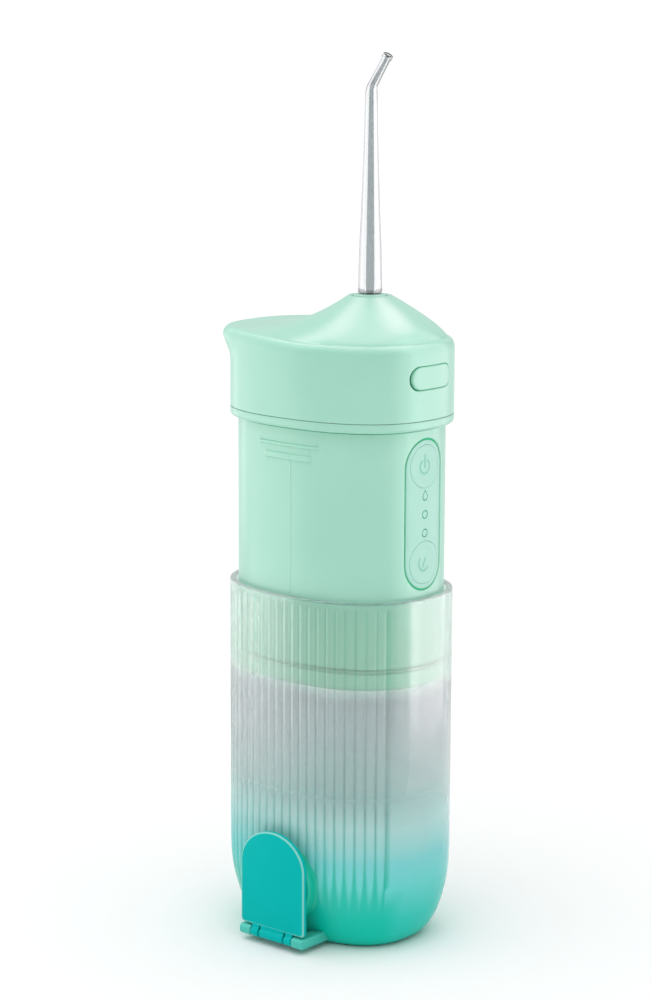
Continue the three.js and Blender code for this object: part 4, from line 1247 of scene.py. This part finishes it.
CARRIED_OVER = {
    STEEL: ["flap_hinge_pin", "cap_screw_1", "cap_screw_2", "motor_case", "motor_screw_1", "motor_screw_2",
            "gear_axle", "inlet_valve_ball", "outlet_valve_ball", "charge_connector", "latch_spring"],
    WHITE: ["inner_chassis", "battery_cradle", "reduction_gear", "piston_yoke", "pump_cylinder", "pump_head",
            "tube_sleeve", "outlet_tube", "tip_latch", "latch_guide"],
    RUBBER: ["power_switch", "mode_switch", "piston_seal", "tube_gland", "nozzle_oring"],
    SILICONE: ["flap_stopper", "inlet_hose"],
    CIRCUIT: ["control_board", "charge_board"],
    BRASS: ["motor_pinion"],
    WRAP: ["battery_cell"],
    TUBE_CLEAR: ["pickup_tube"],
}


def paint_carried_over():
    for material, names in CARRIED_OVER.items():
        for name in names:
            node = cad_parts[name]
            node.data.materials.clear()
            node.data.materials.append(material)
            node.data.shade_smooth()
            node.data.set_sharp_from_angle(angle=math.radians(32))


# ---- stage


def build_floor():
    mesh = bpy.data.meshes.new("floor")
    size = 40
    corners = [(-size, -size, 0), (size, -size, 0), (size, size, 0), (-size, size, 0)]
    mesh.from_pydata(corners, [], [(0, 1, 2, 3)])
    floor = placed("floor", mesh)
    paint = Paint("studio_floor", Roughness=0.95, Specular_IOR_Level=0.0)
    paint.link(paint.ramp(paint.noise(3, 2), [(0.3, "fbfcfc"), (0.7, "fdfdfd")]), "Base Color")
    floor.data.materials.append(paint.material)


def direction(azimuth, elevation):
    """The way towards a light; azimuth 0 is the broad side with the flap, 90 is the narrow front."""
    turn, lift = math.radians(azimuth), math.radians(elevation)
    return Vector((math.sin(turn) * math.cos(lift), -math.cos(turn) * math.cos(lift), math.sin(lift)))


def add_light(name, kind, way, distance, energy):
    light = bpy.data.lights.new(name, kind)
    light.energy = energy
    lamp = placed(name, light)
    lamp.location = LIGHTS_AIM + way * distance
    lamp.rotation_euler = way.to_track_quat("Z", "Y").to_euler()
    return lamp


def gloss_panel(name, azimuth, elevation, distance, size, radiance, tint=(1, 1, 1)):
    """A soft panel that shows as a sheen on glossy surfaces."""
    energy = radiance * math.pi * size[0] * size[1]
    lamp = add_light(name, "AREA", direction(azimuth, elevation), distance, energy)
    lamp.data.color = tint
    lamp.data.shape = "RECTANGLE"
    lamp.data.size, lamp.data.size_y = size
    lamp.visible_diffuse = False
    lamp.visible_transmission = False
    lamp.visible_camera = False


ROSE = (1.0, 0.55, 0.72)  # turns the sheen on mint plastic cream
WORLD_STRENGTH, SKY_STRENGTH = 0.55, 1.66
LIGHTS_AIM = Vector((0, 0, 0.14))


def build_lights():
    world = bpy.data.worlds.new("studio")
    world.use_nodes = True
    background = world.node_tree.nodes["Background"]
    background.inputs["Color"].default_value = (1, 1, 1, 1)
    background.inputs["Strength"].default_value = WORLD_STRENGTH
    bpy.context.scene.world = world
    sky = add_light("overhead", "SUN", direction(0, 80), 1, SKY_STRENGTH)
    sky.data.angle = math.radians(90)
    gloss_panel("left_strip", -92, 10, 0.55, (0.14, 0.9), 1.8)
    gloss_panel("left_front_panel", -55, 10, 0.22, (0.18, 0.5), 1.6)
    gloss_panel("right_front_panel", 104, 10, 0.22, (0.165, 0.5), 1.5)
    gloss_panel("right_panel", 133, 10, 0.22, (0.23, 0.5), 2.6, (1.0, 0.88, 0.93))
    gloss_panel("top_left_panel", -93, 60, 0.8, (0.3, 0.3), 3.6, ROSE)
    gloss_panel("top_right_panel", 173, 60, 0.8, (0.3, 0.3), 5.6, ROSE)
    gloss_panel("top_panel", 40, 88, 0.8, (0.8, 0.8), 1.9, ROSE)
    gloss_panel("back_panel", 220, 28, 1.2, (1.6, 0.7), 0.3)


CAMERA_AZIMUTH, CAMERA_ELEVATION, CAMERA_ROLL = 40.41, 10.89, 0.22
CAMERA_DISTANCE, CAMERA_LENS = 0.8, 99.36
CAMERA_AIM_Z, CAMERA_AIM_RIGHT = 0.12785, -0.00433


def build_camera():
    turn, roll = math.radians(CAMERA_AZIMUTH), math.radians(CAMERA_ROLL)
    back = direction(CAMERA_AZIMUTH, CAMERA_ELEVATION)
    level = Vector((math.cos(turn), math.sin(turn), 0))
    upright = back.cross(level)
    right = level * math.cos(roll) + upright * math.sin(roll)
    up = upright * math.cos(roll) - level * math.sin(roll)
    place = Vector((0, 0, CAMERA_AIM_Z)) + level * CAMERA_AIM_RIGHT + back * CAMERA_DISTANCE
    camera = placed("camera", bpy.data.cameras.new("camera"))
    camera.data.lens = CAMERA_LENS
    camera.data.sensor_width = 36
    camera.matrix_world = Matrix.Translation(place) @ Matrix((right, up, back)).transposed().to_4x4()
    bpy.context.scene.camera = camera


bpy.context.scene.view_settings.view_transform = "Standard"
build_camera()
build_floor()
build_lights()
build_tank_pieces()
build_body_pieces()
build_panel_pieces()
build_jet_pieces()
paint_carried_over()
bpy.context.view_layer.update()
